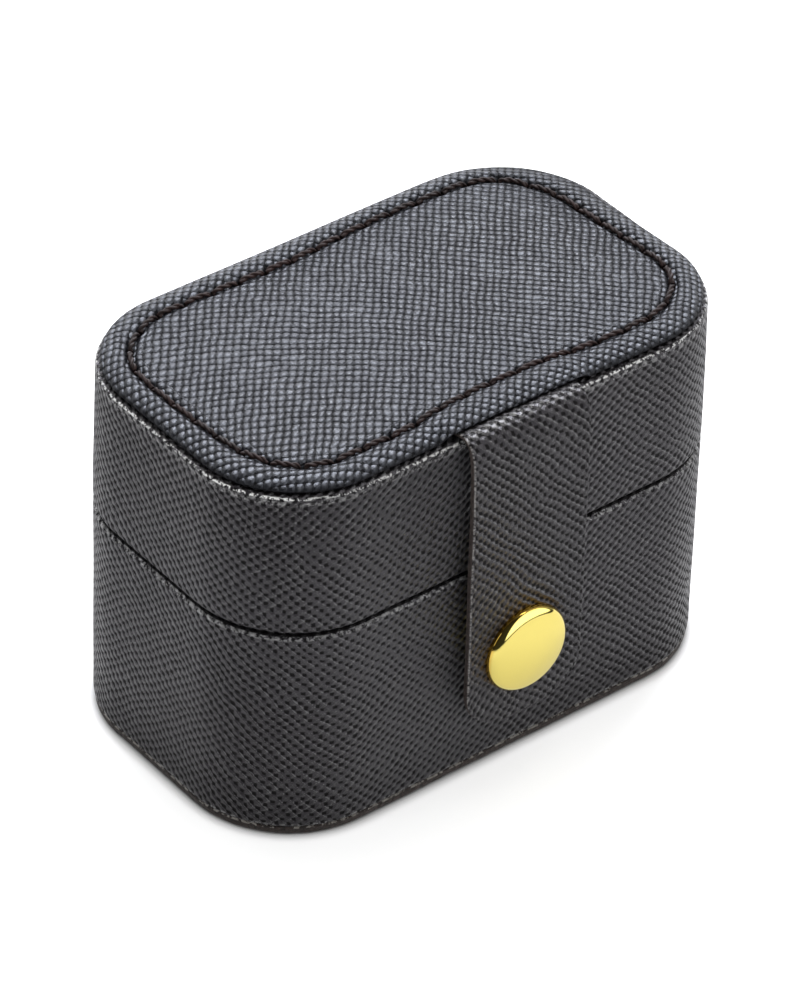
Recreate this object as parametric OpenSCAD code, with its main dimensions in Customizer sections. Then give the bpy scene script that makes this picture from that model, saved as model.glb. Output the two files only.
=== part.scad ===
// Small ring box covered in cross-grained leather, with a sewn panel on the lid, a strap with a
// ring snap, and velvet ring rolls inside. Sizes are in millimetres. X runs along the long side,
// the front faces -Y, and the origin is the centre of the face that the box stands on.

/* [Box] */
// Outside width along the long side
box_w = 72; // [64:1:100]
// Outside depth from front to back
box_d = 43.5; // [40:0.5:60]
// Plan radius of the outside corners
corner_r = 14; // [11:0.5:17]
// Height of the middle of the seam between base and lid
seam_z = 30; // [25:0.2:40]
// Gap between the turned leather edges at the seam
seam_gap = 0.3; // [0.2:0.05:0.5]
// Height of the lid from the seam to its flat top
lid_h = 19.7; // [16:0.1:30]

/* [Leather] */
// Thickness of the leather round the walls
wrap_t = 0.9; // [0.6:0.05:1.2]
// Width of the leather turned under the base and over the lid
turn_w = 5; // [4:0.25:7]
// Height of the leather turned in behind each rim
turn_in_h = 4; // [2.5:0.25:6]
// Rounding of the leather along the bottom edge
bottom_edge_r = 1; // [0.5:0.1:1.4]
// Rounding of the two leather edges at the seam
seam_edge_r = 0.8; // [0.4:0.1:1.2]
// Rounding of the shoulder round the top of the lid
shoulder_r = 1.3; // [0.8:0.1:2]

/* [Shells] */
// Wall thickness of the base tub
base_wall_t = 2; // [1.6:0.1:3]
// Floor thickness of the base tub
base_floor_t = 1.6; // [1:0.1:3]
// Roof thickness of the lid shell
lid_roof_t = 1.6; // [1:0.1:3]
// Thickness of the sole board
sole_t = 1.2; // [0.8:0.1:2]
// How far the sole stays inside the wall
sole_inset = 0.1; // [0.1:0.1:1]

/* [Lining] */
// Thickness of the lining collars
lining_t = 0.8; // [0.5:0.1:1.2]
// How far the base lining stands above the seam
lip_h = 2.6; // [1.5:0.1:4]
// Clearance between that lip and the inside of the lid
lip_gap = 0.3; // [0.2:0.05:0.5]
// Clearance above the lip to the lid lining
lip_headroom = 0.6; // [0.3:0.1:1.5]
// Thickness of the card in the lid's ceiling
ceiling_card_t = 1; // [0.6:0.1:2]
// Thickness of the padded velvet under that card
ceiling_pad_t = 1.8; // [1:0.1:3]
// Rounding of that pad's lower edge
ceiling_pad_r = 1.2; // [0.5:0.1:1.6]

/* [Ring rolls] */
// Thickness of the board that carries the rolls
insert_board_t = 1; // [0.6:0.1:2]
// Height of a roll above that board
roll_h = 20; // [14:0.5:21]
// Thickness of the velvet round each roll
velvet_t = 0.6; // [0.4:0.1:1]
// Clearance round each roll
roll_gap = 0.3; // [0.2:0.05:0.6]

/* [Top panel] */
// How far the panel stays inside the wall
panel_inset = 1.2; // [0.6:0.1:2.5]
// Thickness of the foam in the panel
panel_pad_t = 0.75; // [0.65:0.05:2]
// Thickness of the panel's leather
panel_cover_t = 0.7; // [0.6:0.05:1.2]
// Rounding of the panel's rolled edge
panel_edge_r = 1.2; // [0.6:0.1:1.25]
// Distance of the stitch line from the wall
stitch_inset = 4.75; // [3.5:0.25:8]
// Distance from one stitch to the next
stitch_pitch = 4; // [2.5:0.25:6]
// Length of one stitch that shows
stitch_len = 3.2; // [1.5:0.1:3.4]
// Thickness of the thread
thread_d = 0.5; // [0.35:0.05:0.6]
// Width of the furrow that the thread lies in
furrow_w = 0.9; // [0.8:0.05:1.2]

/* [Strap] */
// Width of the strap
strap_w = 17.2; // [12:0.2:24]
// Thickness of the strap's outer leather
strap_outer_t = 0.55; // [0.4:0.05:0.65]
// Thickness of the strap's backing
strap_backing_t = 0.45; // [0.3:0.05:0.7]
// Gap between the strap and the wall behind it
strap_stand_off = 1.6; // [1.5:0.05:2.5]
// Height of the strap's free end above the floor
strap_end_z = 7.7; // [3:0.1:9]
// Corner radius of the strap's free end
strap_end_r = 6; // [2:0.25:6]
// How far forward of the wall's inside the bend begins
strap_bend_inset = 0.4; // [0.2:0.05:0.8]
// Length of the strap's tab under the panel
strap_tab_len = 5; // [3:0.25:8]

/* [Snap] */
// Height of the snap's axis above the floor
snap_z = 17.4; // [15:0.2:20]
// Diameter of the snap's cap
cap_d = 12; // [10.5:0.25:15]
// Height of the cap above the strap
cap_h = 2.5; // [1.8:0.1:4]
// Rounding of the cap's edge
cap_edge_r = 0.6; // [0.3:0.05:0.8]
// Diameter of the socket behind the strap
socket_d = 10.4; // [8:0.2:12]
// Thickness of the socket's back plate
socket_plate_t = 0.3; // [0.2:0.05:0.4]
// Diameter of the stud's flange on the wall
stud_flange_d = 9.6; // [8:0.2:12]
// Thickness of the stud's flange
stud_flange_t = 0.3; // [0.2:0.05:0.4]
// Diameter of the stud's head
stud_head_d = 3.8; // [3.4:0.1:4.4]
// Diameter of the snap spring's wire
spring_wire_d = 0.4; // [0.3:0.05:0.45]
// Diameter of the rivet's pin
rivet_pin_d = 2.2; // [1.6:0.1:2.4]
// Diameter of the rivet's head inside the wall
rivet_head_d = 7; // [5:0.25:9]
// Thickness of the rivet's head
rivet_head_t = 0.5; // [0.3:0.05:0.8]

/* [Hinge] */
// Width of the leather hinge
hinge_w = 40; // [20:1:42]
// Height of each half of the hinge
hinge_leaf_h = 9; // [6:0.5:14]
// Thickness of the hinge leather
hinge_t = 0.8; // [0.5:0.05:1.2]
// Corner radius of the hinge leather
hinge_corner_r = 2.5; // [1:0.25:4]

/* [Hidden] */

leather = "#34343a";
panel_leather = "#4c5058";
thread_brown = "#33201f";
velvet = "#1d1d20";
board = "#6b655c";
plastic = "#2a2a2c";
foam = "#8a8578";
gold = "#e9c64b";
steel = "#b9bcc0";

// Facets of a round, and the overshoot that keeps a cut clean
$fn = 96;
bite = 1;

// Half sizes of the outside, and the straight runs between the corners
half_w = box_w / 2;
half_d = box_d / 2;
run_x = half_w - corner_r;
run_y = half_d - corner_r;
wall_y = -half_d;

// Insets from the outside wall
base_inner = wrap_t + base_wall_t;
base_room = base_inner + lining_t;
lid_inner = base_inner - lip_gap;
lid_room = lid_inner + lining_t;
board_gap = 0.15;

// Heights of the base
base_turn_z = sole_t + wrap_t;
floor_z = base_turn_z + base_floor_t;
base_rim_z = seam_z - seam_gap / 2;
lip_z = seam_z + lip_h;

// Heights of the lid
lid_rim_z = seam_z + seam_gap / 2;
lid_top = seam_z + lid_h;
lid_turn_z = lid_top - wrap_t;
ceiling_z = lid_turn_z - lid_roof_t;
card_z = ceiling_z - ceiling_card_t;
pad_z = card_z - ceiling_pad_t;
panel_pad_z = lid_top + panel_pad_t;
panel_top = panel_pad_z + panel_cover_t;

// Ring rolls, counted from the middle one
roll_count = 3;
rolls_z = floor_z + insert_board_t;
roll_w = (box_d - 2 * base_room - (roll_count + 1) * roll_gap) / roll_count;
roll_step = roll_w + roll_gap;
roll_r = roll_w / 2;
roll_arc_z = rolls_z + roll_h - roll_r;

// Stitch line on the panel. The furrow is cut from a little above the surface.
furrow_rise = 0.05;
furrow_r = furrow_w / 2;
furrow_z = panel_top + furrow_rise;
thread_lift = 0.1;
thread_r = thread_d / 2;
thread_z = furrow_z - furrow_r + thread_r + thread_lift;
stitch_r = corner_r - stitch_inset;
stitch_share = stitch_len / stitch_pitch;

// Strap: its leather bends about the line bend_y, bend_z, with bend_r inside the outer layer
strap_t = strap_outer_t + strap_backing_t;
bend_y = wall_y + strap_bend_inset;
bend_r = strap_bend_inset + strap_stand_off + strap_backing_t;
bend_z = lid_top - bend_r;
strap_split = 0.1;
backing_start = 35;
tab_pocket_gap = 0.2;

// Snap: heights are distances outwards from the front wall
snap_slip = 0.1;
fit_slip = 0.05;
strap_back_h = strap_stand_off;
strap_face_h = strap_stand_off + strap_t;
socket_front_h = stud_flange_t + snap_slip;
socket_lip_t = 0.15;
spring_r = spring_wire_d / 2;
spring_h = socket_front_h + socket_lip_t + fit_slip + spring_r;
stud_head_r = stud_head_d / 2;
stud_neck_r = stud_head_r - spring_r - snap_slip;
stud_head_h = spring_h + spring_r + fit_slip;
stud_head_t = 0.8;
stud_head_edge_r = 0.35;
spring_ring_r = stud_neck_r + snap_slip + spring_r;
spring_turn = 320;
post_bore_r = stud_head_r + snap_slip;
post_t = 0.35;
post_r = post_bore_r + post_t;
post_roll_t = 0.15;
post_roll_r = post_r + post_t;
post_end_h = strap_back_h - socket_plate_t - post_roll_t;
socket_cavity_r = post_roll_r + snap_slip;
socket_mouth_r = stud_head_r + snap_slip;
rivet_pin_r = rivet_pin_d / 2;
rivet_pin_h = stud_head_h + stud_head_t / 2;

// Cap: a dome that runs smoothly into its rounded edge
cap_r = cap_d / 2;
cap_edge_x = cap_r - cap_edge_r;
cap_rise = cap_h - cap_edge_r;
dome_r = (cap_edge_x * cap_edge_x + cap_rise * cap_rise - cap_edge_r * cap_edge_r)
    / (2 * (cap_rise - cap_edge_r));
dome_x = cap_edge_x * dome_r / (dome_r - cap_edge_r);

// Flat outline of the box, drawn in by a distance
module outline(inset) {
    w = box_w - 2 * inset;
    d = box_d - 2 * inset;
    r = corner_r - inset;
    square([w - 2 * r, d], center = true);
    square([w, d - 2 * r], center = true);
    for (sx = [-1, 1], sy = [-1, 1])
        translate([sx * run_x, sy * run_y]) circle(r);
}

// Upright block with that outline, from one height to another
module block(inset, z0, z1) {
    translate([0, 0, z0]) linear_extrude(z1 - z0) outline(inset);
}

// Upright ring between two insets
module collar(outer, inner, z0, z1) {
    translate([0, 0, z0]) linear_extrude(z1 - z0) difference() {
        outline(outer);
        outline(inner);
    }
}

// Runs a profile round the box: in it, x = 0 is the outside wall and y is the height
module around() {
    sides = [[half_w, run_y], [half_d, run_x], [half_w, run_y], [half_d, run_x]];
    corners = [[run_x, run_y], [-run_x, run_y], [-run_x, -run_y], [run_x, -run_y]];
    for (k = [0:3]) {
        rotate(90 * k) translate([sides[k][0], sides[k][1], 0]) rotate([90, 0, 0])
            linear_extrude(2 * sides[k][1]) children();
        translate(corners[k]) rotate(90 * k)
            rotate_extrude(angle = 90) translate([corner_r, 0]) children();
    }
}

// Rounds one corner of a profile; quarter 0 is its upper outer corner, 3 its lower outer one
module corner_cut(at, r, quarter) {
    translate(at) rotate(90 * quarter) translate([-r, -r]) difference() {
        square(r + bite);
        circle(r);
    }
}

// Turns what is drawn along +Z to stand out from the front wall on the snap's axis
module on_snap_axis() {
    translate([0, wall_y, snap_z]) rotate([90, 0, 0]) children();
}

// Round solid between two radii and two heights
module ring(r_out, r_in, h0, h1) {
    translate([0, 0, h0]) difference() {
        cylinder(r = r_out, h = h1 - h0);
        translate([0, 0, -bite]) cylinder(r = r_in, h = h1 - h0 + 2 * bite);
    }
}

module sole() {
    color(leather) block(sole_inset, 0, sole_t);
}

// Tub with a raised middle under its floor, so that the turned leather lies flush
module base_shell() {
    color(plastic) difference() {
        union() {
            block(wrap_t, base_turn_z, base_rim_z - wrap_t);
            block(turn_w, sole_t, base_turn_z + fit_slip);
        }
        block(base_inner, floor_z, base_rim_z + bite);
        block(base_inner - wrap_t, base_rim_z - turn_in_h, base_rim_z + bite);
        on_snap_axis() {
            translate([0, 0, -base_inner - bite])
                cylinder(r = rivet_pin_r + snap_slip, h = base_inner + 2 * bite);
            translate([0, 0, -base_inner - bite])
                cylinder(d = rivet_head_d + 2 * snap_slip, h = rivet_head_t + bite);
        }
    }
}

// Leather round the base: turned under the tub, and over the rim to the inside
module base_wrap() {
    color(leather) difference() {
        around() difference() {
            union() {
                translate([-wrap_t, sole_t]) square([wrap_t, base_rim_z - sole_t]);
                translate([-turn_w, sole_t]) square([turn_w, wrap_t]);
                translate([-base_inner, base_rim_z - wrap_t]) square([base_inner, wrap_t]);
                translate([-base_inner, base_rim_z - turn_in_h]) square([wrap_t, turn_in_h]);
            }
            corner_cut([0, sole_t], bottom_edge_r, 3);
            corner_cut([0, base_rim_z], seam_edge_r, 0);
        }
        on_snap_axis() translate([0, 0, -wrap_t - bite])
            cylinder(r = rivet_pin_r + snap_slip, h = wrap_t + 2 * bite);
    }
}

module base_lining() {
    color(velvet) collar(base_inner, base_room, floor_z, lip_z);
}

module insert_board() {
    color(board) block(base_room + board_gap, floor_z, rolls_z);
}

// Bar with a round top, drawn in by a skin thickness and cut to the room inside the base
module roll(row, skin, z0) {
    intersection() {
        translate([0, row * roll_step, 0]) rotate([90, 0, 90])
            linear_extrude(box_w, center = true) {
                translate([-roll_r + skin, z0]) square([roll_w - 2 * skin, roll_arc_z - z0]);
                translate([0, roll_arc_z]) circle(roll_r - skin);
            }
        block(base_room + roll_gap + skin, z0, rolls_z + roll_h);
    }
}

module roll_foam(row) {
    color(foam) roll(row, velvet_t, rolls_z);
}

module roll_velvet(row) {
    color(velvet) difference() {
        roll(row, 0, rolls_z);
        roll(row, velvet_t, rolls_z - bite);
    }
}

module front_roll_foam() { roll_foam(-1); }
module middle_roll_foam() { roll_foam(0); }
module back_roll_foam() { roll_foam(1); }
module front_roll_velvet() { roll_velvet(-1); }
module middle_roll_velvet() { roll_velvet(0); }
module back_roll_velvet() { roll_velvet(1); }

// Stud on the base wall: a flange, a neck for the spring and a round-edged head
module snap_stud() {
    color(gold) on_snap_axis() difference() {
        union() {
            cylinder(d = stud_flange_d, h = stud_flange_t);
            cylinder(r = stud_neck_r, h = stud_head_h + fit_slip);
            translate([0, 0, stud_head_h]) rotate_extrude() difference() {
                square([stud_head_r, stud_head_t]);
                corner_cut([stud_head_r, stud_head_t], stud_head_edge_r, 0);
            }
        }
        translate([0, 0, -bite]) cylinder(r = rivet_pin_r + fit_slip, h = rivet_pin_h + bite + fit_slip);
    }
}

module stud_rivet() {
    color(steel) on_snap_axis() translate([0, 0, -base_inner]) {
        cylinder(d = rivet_head_d, h = rivet_head_t);
        cylinder(r = rivet_pin_r, h = base_inner + rivet_pin_h);
    }
}

// Half of the leather hinge, upright from z = 0 on the back wall
module hinge_leaf() {
    r = hinge_corner_r;
    translate([0, half_d + hinge_t, 0]) rotate([90, 0, 0]) linear_extrude(hinge_t) {
        translate([-hinge_w / 2, 0]) square([hinge_w, hinge_leaf_h - r]);
        translate([-hinge_w / 2 + r, 0]) square([hinge_w - 2 * r, hinge_leaf_h]);
        for (side = [-1, 1])
            translate([side * (hinge_w / 2 - r), hinge_leaf_h - r]) circle(r);
    }
}

module hinge_leaf_base() {
    color(leather) translate([0, 0, base_rim_z]) mirror([0, 0, 1]) hinge_leaf();
}

module hinge_leaf_lid() {
    color(leather) translate([0, 0, lid_rim_z]) hinge_leaf();
}

// Shell of the lid, with a raised middle on its roof that lies flush with the turned leather
module lid_shell() {
    color(plastic) difference() {
        union() {
            block(wrap_t, lid_rim_z + wrap_t, lid_turn_z);
            block(turn_w, lid_turn_z - fit_slip, lid_top);
        }
        block(lid_inner, lid_rim_z - bite, ceiling_z);
        block(lid_inner - wrap_t, lid_rim_z - bite, lid_rim_z + turn_in_h);
    }
}

// Leather round the lid: over the shoulder onto the roof, and round the rim to the inside
module lid_wrap() {
    color(leather) around() difference() {
        union() {
            translate([-wrap_t, lid_rim_z]) square([wrap_t, lid_top - lid_rim_z]);
            translate([-turn_w, lid_turn_z]) square([turn_w, wrap_t]);
            translate([-lid_inner, lid_rim_z]) square([lid_inner, wrap_t]);
            translate([-lid_inner, lid_rim_z]) square([wrap_t, turn_in_h]);
        }
        corner_cut([0, lid_rim_z], seam_edge_r, 3);
        corner_cut([0, lid_top], shoulder_r, 0);
    }
}

module lid_lining() {
    color(velvet) collar(lid_inner, lid_room, lip_z + lip_headroom, ceiling_z);
}

module ceiling_card() {
    color(board) block(lid_room + board_gap, card_z, ceiling_z);
}

// Padded velvet with a rounded lower edge
module ceiling_pad() {
    edge = lid_room + board_gap;
    color(velvet) {
        around() difference() {
            translate([-edge - 2 * ceiling_pad_r, pad_z])
                square([2 * ceiling_pad_r, ceiling_pad_t]);
            corner_cut([-edge, pad_z], ceiling_pad_r, 3);
        }
        block(edge + 2 * ceiling_pad_r, pad_z, card_z);
    }
}

// Room for the strap's tab under the panel
module tab_pocket() {
    w = strap_w + 2 * tab_pocket_gap;
    translate([-w / 2, wall_y, lid_top - bite])
        cube([w, strap_bend_inset + strap_tab_len + tab_pocket_gap, strap_outer_t + bite + fit_slip]);
}

module panel_pad() {
    color(foam) difference() {
        block(panel_inset + panel_cover_t, lid_top, panel_pad_z);
        tab_pocket();
    }
}

// Leather of the panel: rolled down round its edge, with the furrow of the stitch line
module panel_cover() {
    band = stitch_inset + furrow_w;
    color(panel_leather) difference() {
        union() {
            around() difference() {
                translate([-band, lid_top]) square([band - panel_inset, panel_top - lid_top]);
                corner_cut([-panel_inset, panel_top], panel_edge_r, 0);
                translate([-stitch_inset, furrow_z]) circle(furrow_r);
            }
            block(band, lid_top, panel_top);
        }
        block(panel_inset + panel_cover_t, lid_top - bite, panel_pad_z);
        tab_pocket();
    }
}

// One straight stitch along X, starting at the origin
module straight_stitch(length) {
    rotate([0, 90, 0]) cylinder(r = thread_r, h = length);
}

// One stitch on the corner arc of the stitch line, from the X axis on
module corner_stitch(turn) {
    rotate_extrude(angle = turn) translate([stitch_r, 0]) circle(thread_r);
}

// Stitches along one side of the panel: the side runs along X at y
module side_stitches(run, y) {
    count = max(1, round(2 * run / stitch_pitch));
    step = 2 * run / count;
    for (i = [0:count - 1])
        translate([-run + (i + (1 - stitch_share) / 2) * step, y, thread_z])
            straight_stitch(step * stitch_share);
}

module panel_stitching() {
    corner_count = max(1, round(stitch_r * PI / 2 / stitch_pitch));
    corner_step = 90 / corner_count;
    color(thread_brown) {
        for (turn = [0, 180]) {
            rotate(turn) side_stitches(run_x, half_d - stitch_inset);
            rotate(turn + 90) side_stitches(run_y, half_w - stitch_inset);
        }
        for (k = [0:3], i = [0:corner_count - 1])
            translate([(k == 0 || k == 3 ? 1 : -1) * run_x, (k < 2 ? 1 : -1) * run_y, thread_z])
                rotate(90 * k + (i + (1 - stitch_share) / 2) * corner_step)
                    corner_stitch(corner_step * stitch_share);
    }
}

// End of the strap's outer leather, glued under the panel
module strap_tab() {
    color(leather) translate([-strap_w / 2, bend_y + strap_split, lid_top])
        cube([strap_w, strap_tab_len - strap_split, strap_outer_t]);
}

// Front view of the strap, with its free end rounded
module strap_front() {
    side = strap_w / 2;
    r = strap_end_r;
    translate([-side, strap_end_z + r]) square([strap_w, lid_top + bite - strap_end_z]);
    translate([-side + r, strap_end_z]) square([strap_w - 2 * r, 2 * r]);
    for (k = [-1, 1])
        translate([k * (side - r), strap_end_z + r]) circle(r);
}

// One layer of the strap between two bend radii, from an angle in the bend down to its free end
module strap_layer(r_in, r_out, start) {
    reach = 2 * r_out;
    intersection() {
        rotate([90, 0, 90]) linear_extrude(strap_w + 2 * bite, center = true)
            translate([bend_y, 0]) {
                translate([0, bend_z]) intersection() {
                    difference() {
                        circle(r_out);
                        circle(r_in);
                    }
                    polygon([
                        [-strap_split, 0],
                        [-strap_split - reach * sin(start), reach * cos(start)],
                        [-reach, reach],
                        [-reach, 0]
                    ]);
                }
                translate([-r_out, 0]) square([r_out - r_in, bend_z]);
            }
        rotate([90, 0, 0]) linear_extrude(2 * box_d, center = true) strap_front();
    }
}

// Hole for the cap's post through the strap
module post_hole() {
    on_snap_axis() cylinder(r = post_r + fit_slip, h = strap_face_h + bite);
}

module strap_outer() {
    color(leather) difference() {
        strap_layer(bend_r, bend_r + strap_outer_t, 0);
        post_hole();
    }
}

module strap_backing() {
    color(board) difference() {
        strap_layer(bend_r - strap_backing_t, bend_r, backing_start);
        post_hole();
    }
}

// Domed cap with the hollow post that is rolled over inside the socket
module snap_cap() {
    color(gold) on_snap_axis() {
        translate([0, 0, strap_face_h]) rotate_extrude() {
            intersection() {
                translate([0, cap_h - dome_r]) circle(dome_r);
                translate([0, cap_edge_r]) square([dome_x, cap_h]);
            }
            translate([cap_edge_x, cap_edge_r]) circle(cap_edge_r);
            square([cap_edge_x, cap_edge_r + fit_slip]);
        }
        ring(post_r, post_bore_r, post_end_h, strap_face_h + fit_slip);
        ring(post_roll_r, post_bore_r, post_end_h, post_end_h + post_roll_t);
    }
}

// Socket behind the strap: a back plate, a side wall, and a lip that keeps the spring in
module snap_socket() {
    plate_h = strap_back_h - socket_plate_t;
    color(gold) on_snap_axis() difference() {
        translate([0, 0, socket_front_h])
            cylinder(d = socket_d, h = strap_back_h - socket_front_h);
        cylinder(r = socket_mouth_r, h = strap_back_h);
        translate([0, 0, socket_front_h + socket_lip_t])
            cylinder(r = socket_cavity_r, h = plate_h - socket_front_h - socket_lip_t);
        cylinder(r = post_r + fit_slip, h = strap_back_h + bite);
    }
}

// Split ring of wire that grips the stud's neck, with its gap at the bottom
module snap_spring() {
    color(steel) on_snap_axis() translate([0, 0, spring_h]) rotate((180 - spring_turn) / 2)
        rotate_extrude(angle = spring_turn) translate([spring_ring_r, 0]) circle(spring_r);
}

sole();
base_shell();
base_wrap();
base_lining();
insert_board();
front_roll_foam();
middle_roll_foam();
back_roll_foam();
front_roll_velvet();
middle_roll_velvet();
back_roll_velvet();
snap_stud();
stud_rivet();
hinge_leaf_base();
lid_shell();
lid_wrap();
lid_lining();
ceiling_card();
ceiling_pad();
panel_pad();
panel_cover();
panel_stitching();
strap_tab();
hinge_leaf_lid();
strap_outer();
strap_backing();
snap_cap();
snap_socket();
snap_spring();
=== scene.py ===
# Small leather ring box with a snap strap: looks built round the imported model. Geometry is worked
# out in millimetres and written to the meshes in metres.
import math
import random

import bpy
import numpy as np
from mathutils import Matrix, Vector, noise


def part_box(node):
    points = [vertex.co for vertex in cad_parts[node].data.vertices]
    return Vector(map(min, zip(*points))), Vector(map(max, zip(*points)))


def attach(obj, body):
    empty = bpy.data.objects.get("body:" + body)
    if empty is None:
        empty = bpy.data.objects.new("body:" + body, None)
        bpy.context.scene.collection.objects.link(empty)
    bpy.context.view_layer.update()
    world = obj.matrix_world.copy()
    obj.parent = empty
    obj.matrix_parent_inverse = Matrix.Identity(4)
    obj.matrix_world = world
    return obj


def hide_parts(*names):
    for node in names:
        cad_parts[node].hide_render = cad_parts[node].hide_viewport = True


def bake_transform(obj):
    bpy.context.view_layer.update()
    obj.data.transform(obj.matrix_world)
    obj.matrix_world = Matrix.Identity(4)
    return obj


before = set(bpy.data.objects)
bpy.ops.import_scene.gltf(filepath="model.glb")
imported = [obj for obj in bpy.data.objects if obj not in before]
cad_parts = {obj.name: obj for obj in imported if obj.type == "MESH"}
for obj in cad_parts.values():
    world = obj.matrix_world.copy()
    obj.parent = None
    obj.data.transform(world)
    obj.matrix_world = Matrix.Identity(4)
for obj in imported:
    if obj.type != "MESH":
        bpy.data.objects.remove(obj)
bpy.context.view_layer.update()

mm = 0.001


def boxOf(node):
    low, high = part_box(node)
    return np.array(low) / mm, np.array(high) / mm


# Sizes of the construction, read from the imported parts
wrapLow, wrapHigh = boxOf("base_wrap")
liningLow, liningHigh = boxOf("base_lining")
lidLow, lidHigh = boxOf("lid_wrap")
lidLiningLow, lidLiningHigh = boxOf("lid_lining")
panelHigh = boxOf("panel_cover")[1]
strapHigh = boxOf("strap_outer")[1]
capLow, capHigh = boxOf("snap_cap")
footZ, rimZ = wrapLow[2], wrapHigh[2]
lidFoot, lidTop = lidLow[2], lidHigh[2]
seamZ = (rimZ + lidFoot) / 2
panelTop = panelHigh[2]
capX, capZ = 0.0, (capLow[2] + capHigh[2]) / 2

box = {
    "halfW": wrapHigh[0],
    "halfD": wrapHigh[1],
    "cornerR": 14.0,
    "wrapT": rimZ - boxOf("base_shell")[1][2],
    "baseInner": wrapHigh[0] - liningHigh[0],
    "lidInner": wrapHigh[0] - lidLiningHigh[0],
    "liningT": 0.8,
    "turnW": 5.0,
    "turnIn": 4.0,
}
runX = box["halfW"] - box["cornerR"]
runY = box["halfD"] - box["cornerR"]


# The outside of the box seen from above, walked from the middle of the back over the left end,
# the front and the right end. Each row holds x, y, the outward normal and the distance walked.
def wallLoop(step):
    rows = []
    walked = 0.0
    arc = box["cornerR"] * math.pi / 2

    def straight(x0, y0, x1, y1, nx, ny):
        nonlocal walked
        length = math.hypot(x1 - x0, y1 - y0)
        count = max(1, round(length / step))
        for i in range(count):
            t = i / count
            rows.append((x0 + (x1 - x0) * t, y0 + (y1 - y0) * t, nx, ny, walked + length * t))
        walked += length

    def corner(cx, cy, startAngle):
        nonlocal walked
        count = max(8, round(arc / step))
        for i in range(count):
            t = i / count
            a = startAngle + t * math.pi / 2
            c, s = math.cos(a), math.sin(a)
            r = box["cornerR"]
            rows.append((cx + r * c, cy + r * s, c, s, walked + arc * t))
        walked += arc

    w, d = box["halfW"], box["halfD"]
    straight(0, d, -runX, d, 0, 1)
    corner(-runX, runY, math.pi / 2)
    straight(-w, runY, -w, -runY, -1, 0)
    corner(-runX, -runY, math.pi)
    straight(-runX, -d, runX, -d, 0, -1)
    corner(runX, -runY, math.pi * 1.5)
    straight(w, -runY, w, runY, 1, 0)
    corner(runX, runY, 0)
    straight(runX, d, 0, d, 0, 1)
    return np.array(rows), walked


def addObject(name, data):
    made = bpy.data.objects.new(name, data)
    bpy.context.scene.collection.objects.link(made)
    return made


def makeMesh(name, points, faces, uvs=None, slots=None, sharp=50):
    mesh = bpy.data.meshes.new(name)
    mesh.from_pydata((np.asarray(points) * mm).tolist(), [], faces)
    if uvs is not None:
        layer = mesh.uv_layers.new(name="grain")
        layer.uv.foreach_set("vector", np.asarray(uvs, np.float32).ravel())
    mesh.polygons.foreach_set("use_smooth", [True] * len(mesh.polygons))
    if slots is not None:
        mesh.polygons.foreach_set("material_index", slots)
    mesh.set_sharp_from_angle(angle=math.radians(sharp))
    mesh.validate()
    mesh.update()
    return addObject(name, mesh)


# Gentle waves between -1 and 1, the same at the same place each run
def uneven(x, y, z):
    return noise.noise(Vector((x, y, z)))


# A number between 0 and 1 that starts and ends level
def bump(t):
    t = min(1.0, max(0.0, t))
    return t * t * (3 - 2 * t)


# A quarter round: 0 at 0, upright there, and level at 1
def quarter(t):
    return math.sqrt(max(0.0, 1 - (1 - t) ** 2))


# The quads of a grid of points, whose rows and columns may close on themselves. The corners are
# each quad's rows and columns, counted on past the last where a side closes.
def gridFaces(rows, columns, closeRows, closeColumns, first=0):
    faces, corners = [], []
    for i in range(rows if closeRows else rows - 1):
        for j in range(columns if closeColumns else columns - 1):
            i2, j2 = (i + 1) % rows, (j + 1) % columns
            faces.append((first + i * columns + j, first + i2 * columns + j,
                          first + i2 * columns + j2, first + i * columns + j2))
            corners.append(((i, j), (i + 1, j), (i + 1, j + 1), (i, j + 1)))
    return faces, corners


# A profile carried round the box: closed, each row outwards, height and the grain's height there
def sweptWall(name, profile, step, wobble):
    loop, around = wallLoop(step)
    rows, columns = len(loop), len(profile)
    points = np.zeros((rows, columns, 3))
    for j, (out, z, _) in enumerate(profile):
        points[:, j, 0] = loop[:, 0] + loop[:, 2] * out
        points[:, j, 1] = loop[:, 1] + loop[:, 3] * out
        points[:, j, 2] = z
    wobble(points, loop)
    faces, corners = gridFaces(rows, columns, True, True)
    us = np.append(loop[:, 4], around)
    vs = [p[2] for p in profile] + [profile[0][2]]
    uvs = [(us[i], vs[j]) for face in corners for i, j in face]
    # the strip that closes the profile is hidden, so its grain may stretch
    return makeMesh(name, points.reshape(-1, 3), faces, uvs)


def arcPoints(cx, cy, r, start, end, count):
    turns = [math.radians(start + (end - start) * i / count) for i in range(count + 1)]
    return [(cx + r * math.cos(a), cy + r * math.sin(a)) for a in turns]


# The points between two others, in even steps
def evenly(p, q, step):
    count = max(1, round(math.dist(p, q) / step))
    return [(p[0] + (q[0] - p[0]) * i / count, p[1] + (q[1] - p[1]) * i / count)
            for i in range(1, count)]


# Gives a run of profile points the grain's v coordinate: their length along the run, set so
# that it equals the height on the upright wall
def measured(points):
    lengths = [0.0]
    for a, b in zip(points, points[1:]):
        lengths.append(lengths[-1] + math.dist(a, b))
    onWall = next(i for i, p in enumerate(points) if abs(p[0]) < 1e-6)
    shift = points[onWall][1] - lengths[onWall]
    return [(p[0], p[1], s + shift) for p, s in zip(points, lengths)]


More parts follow.
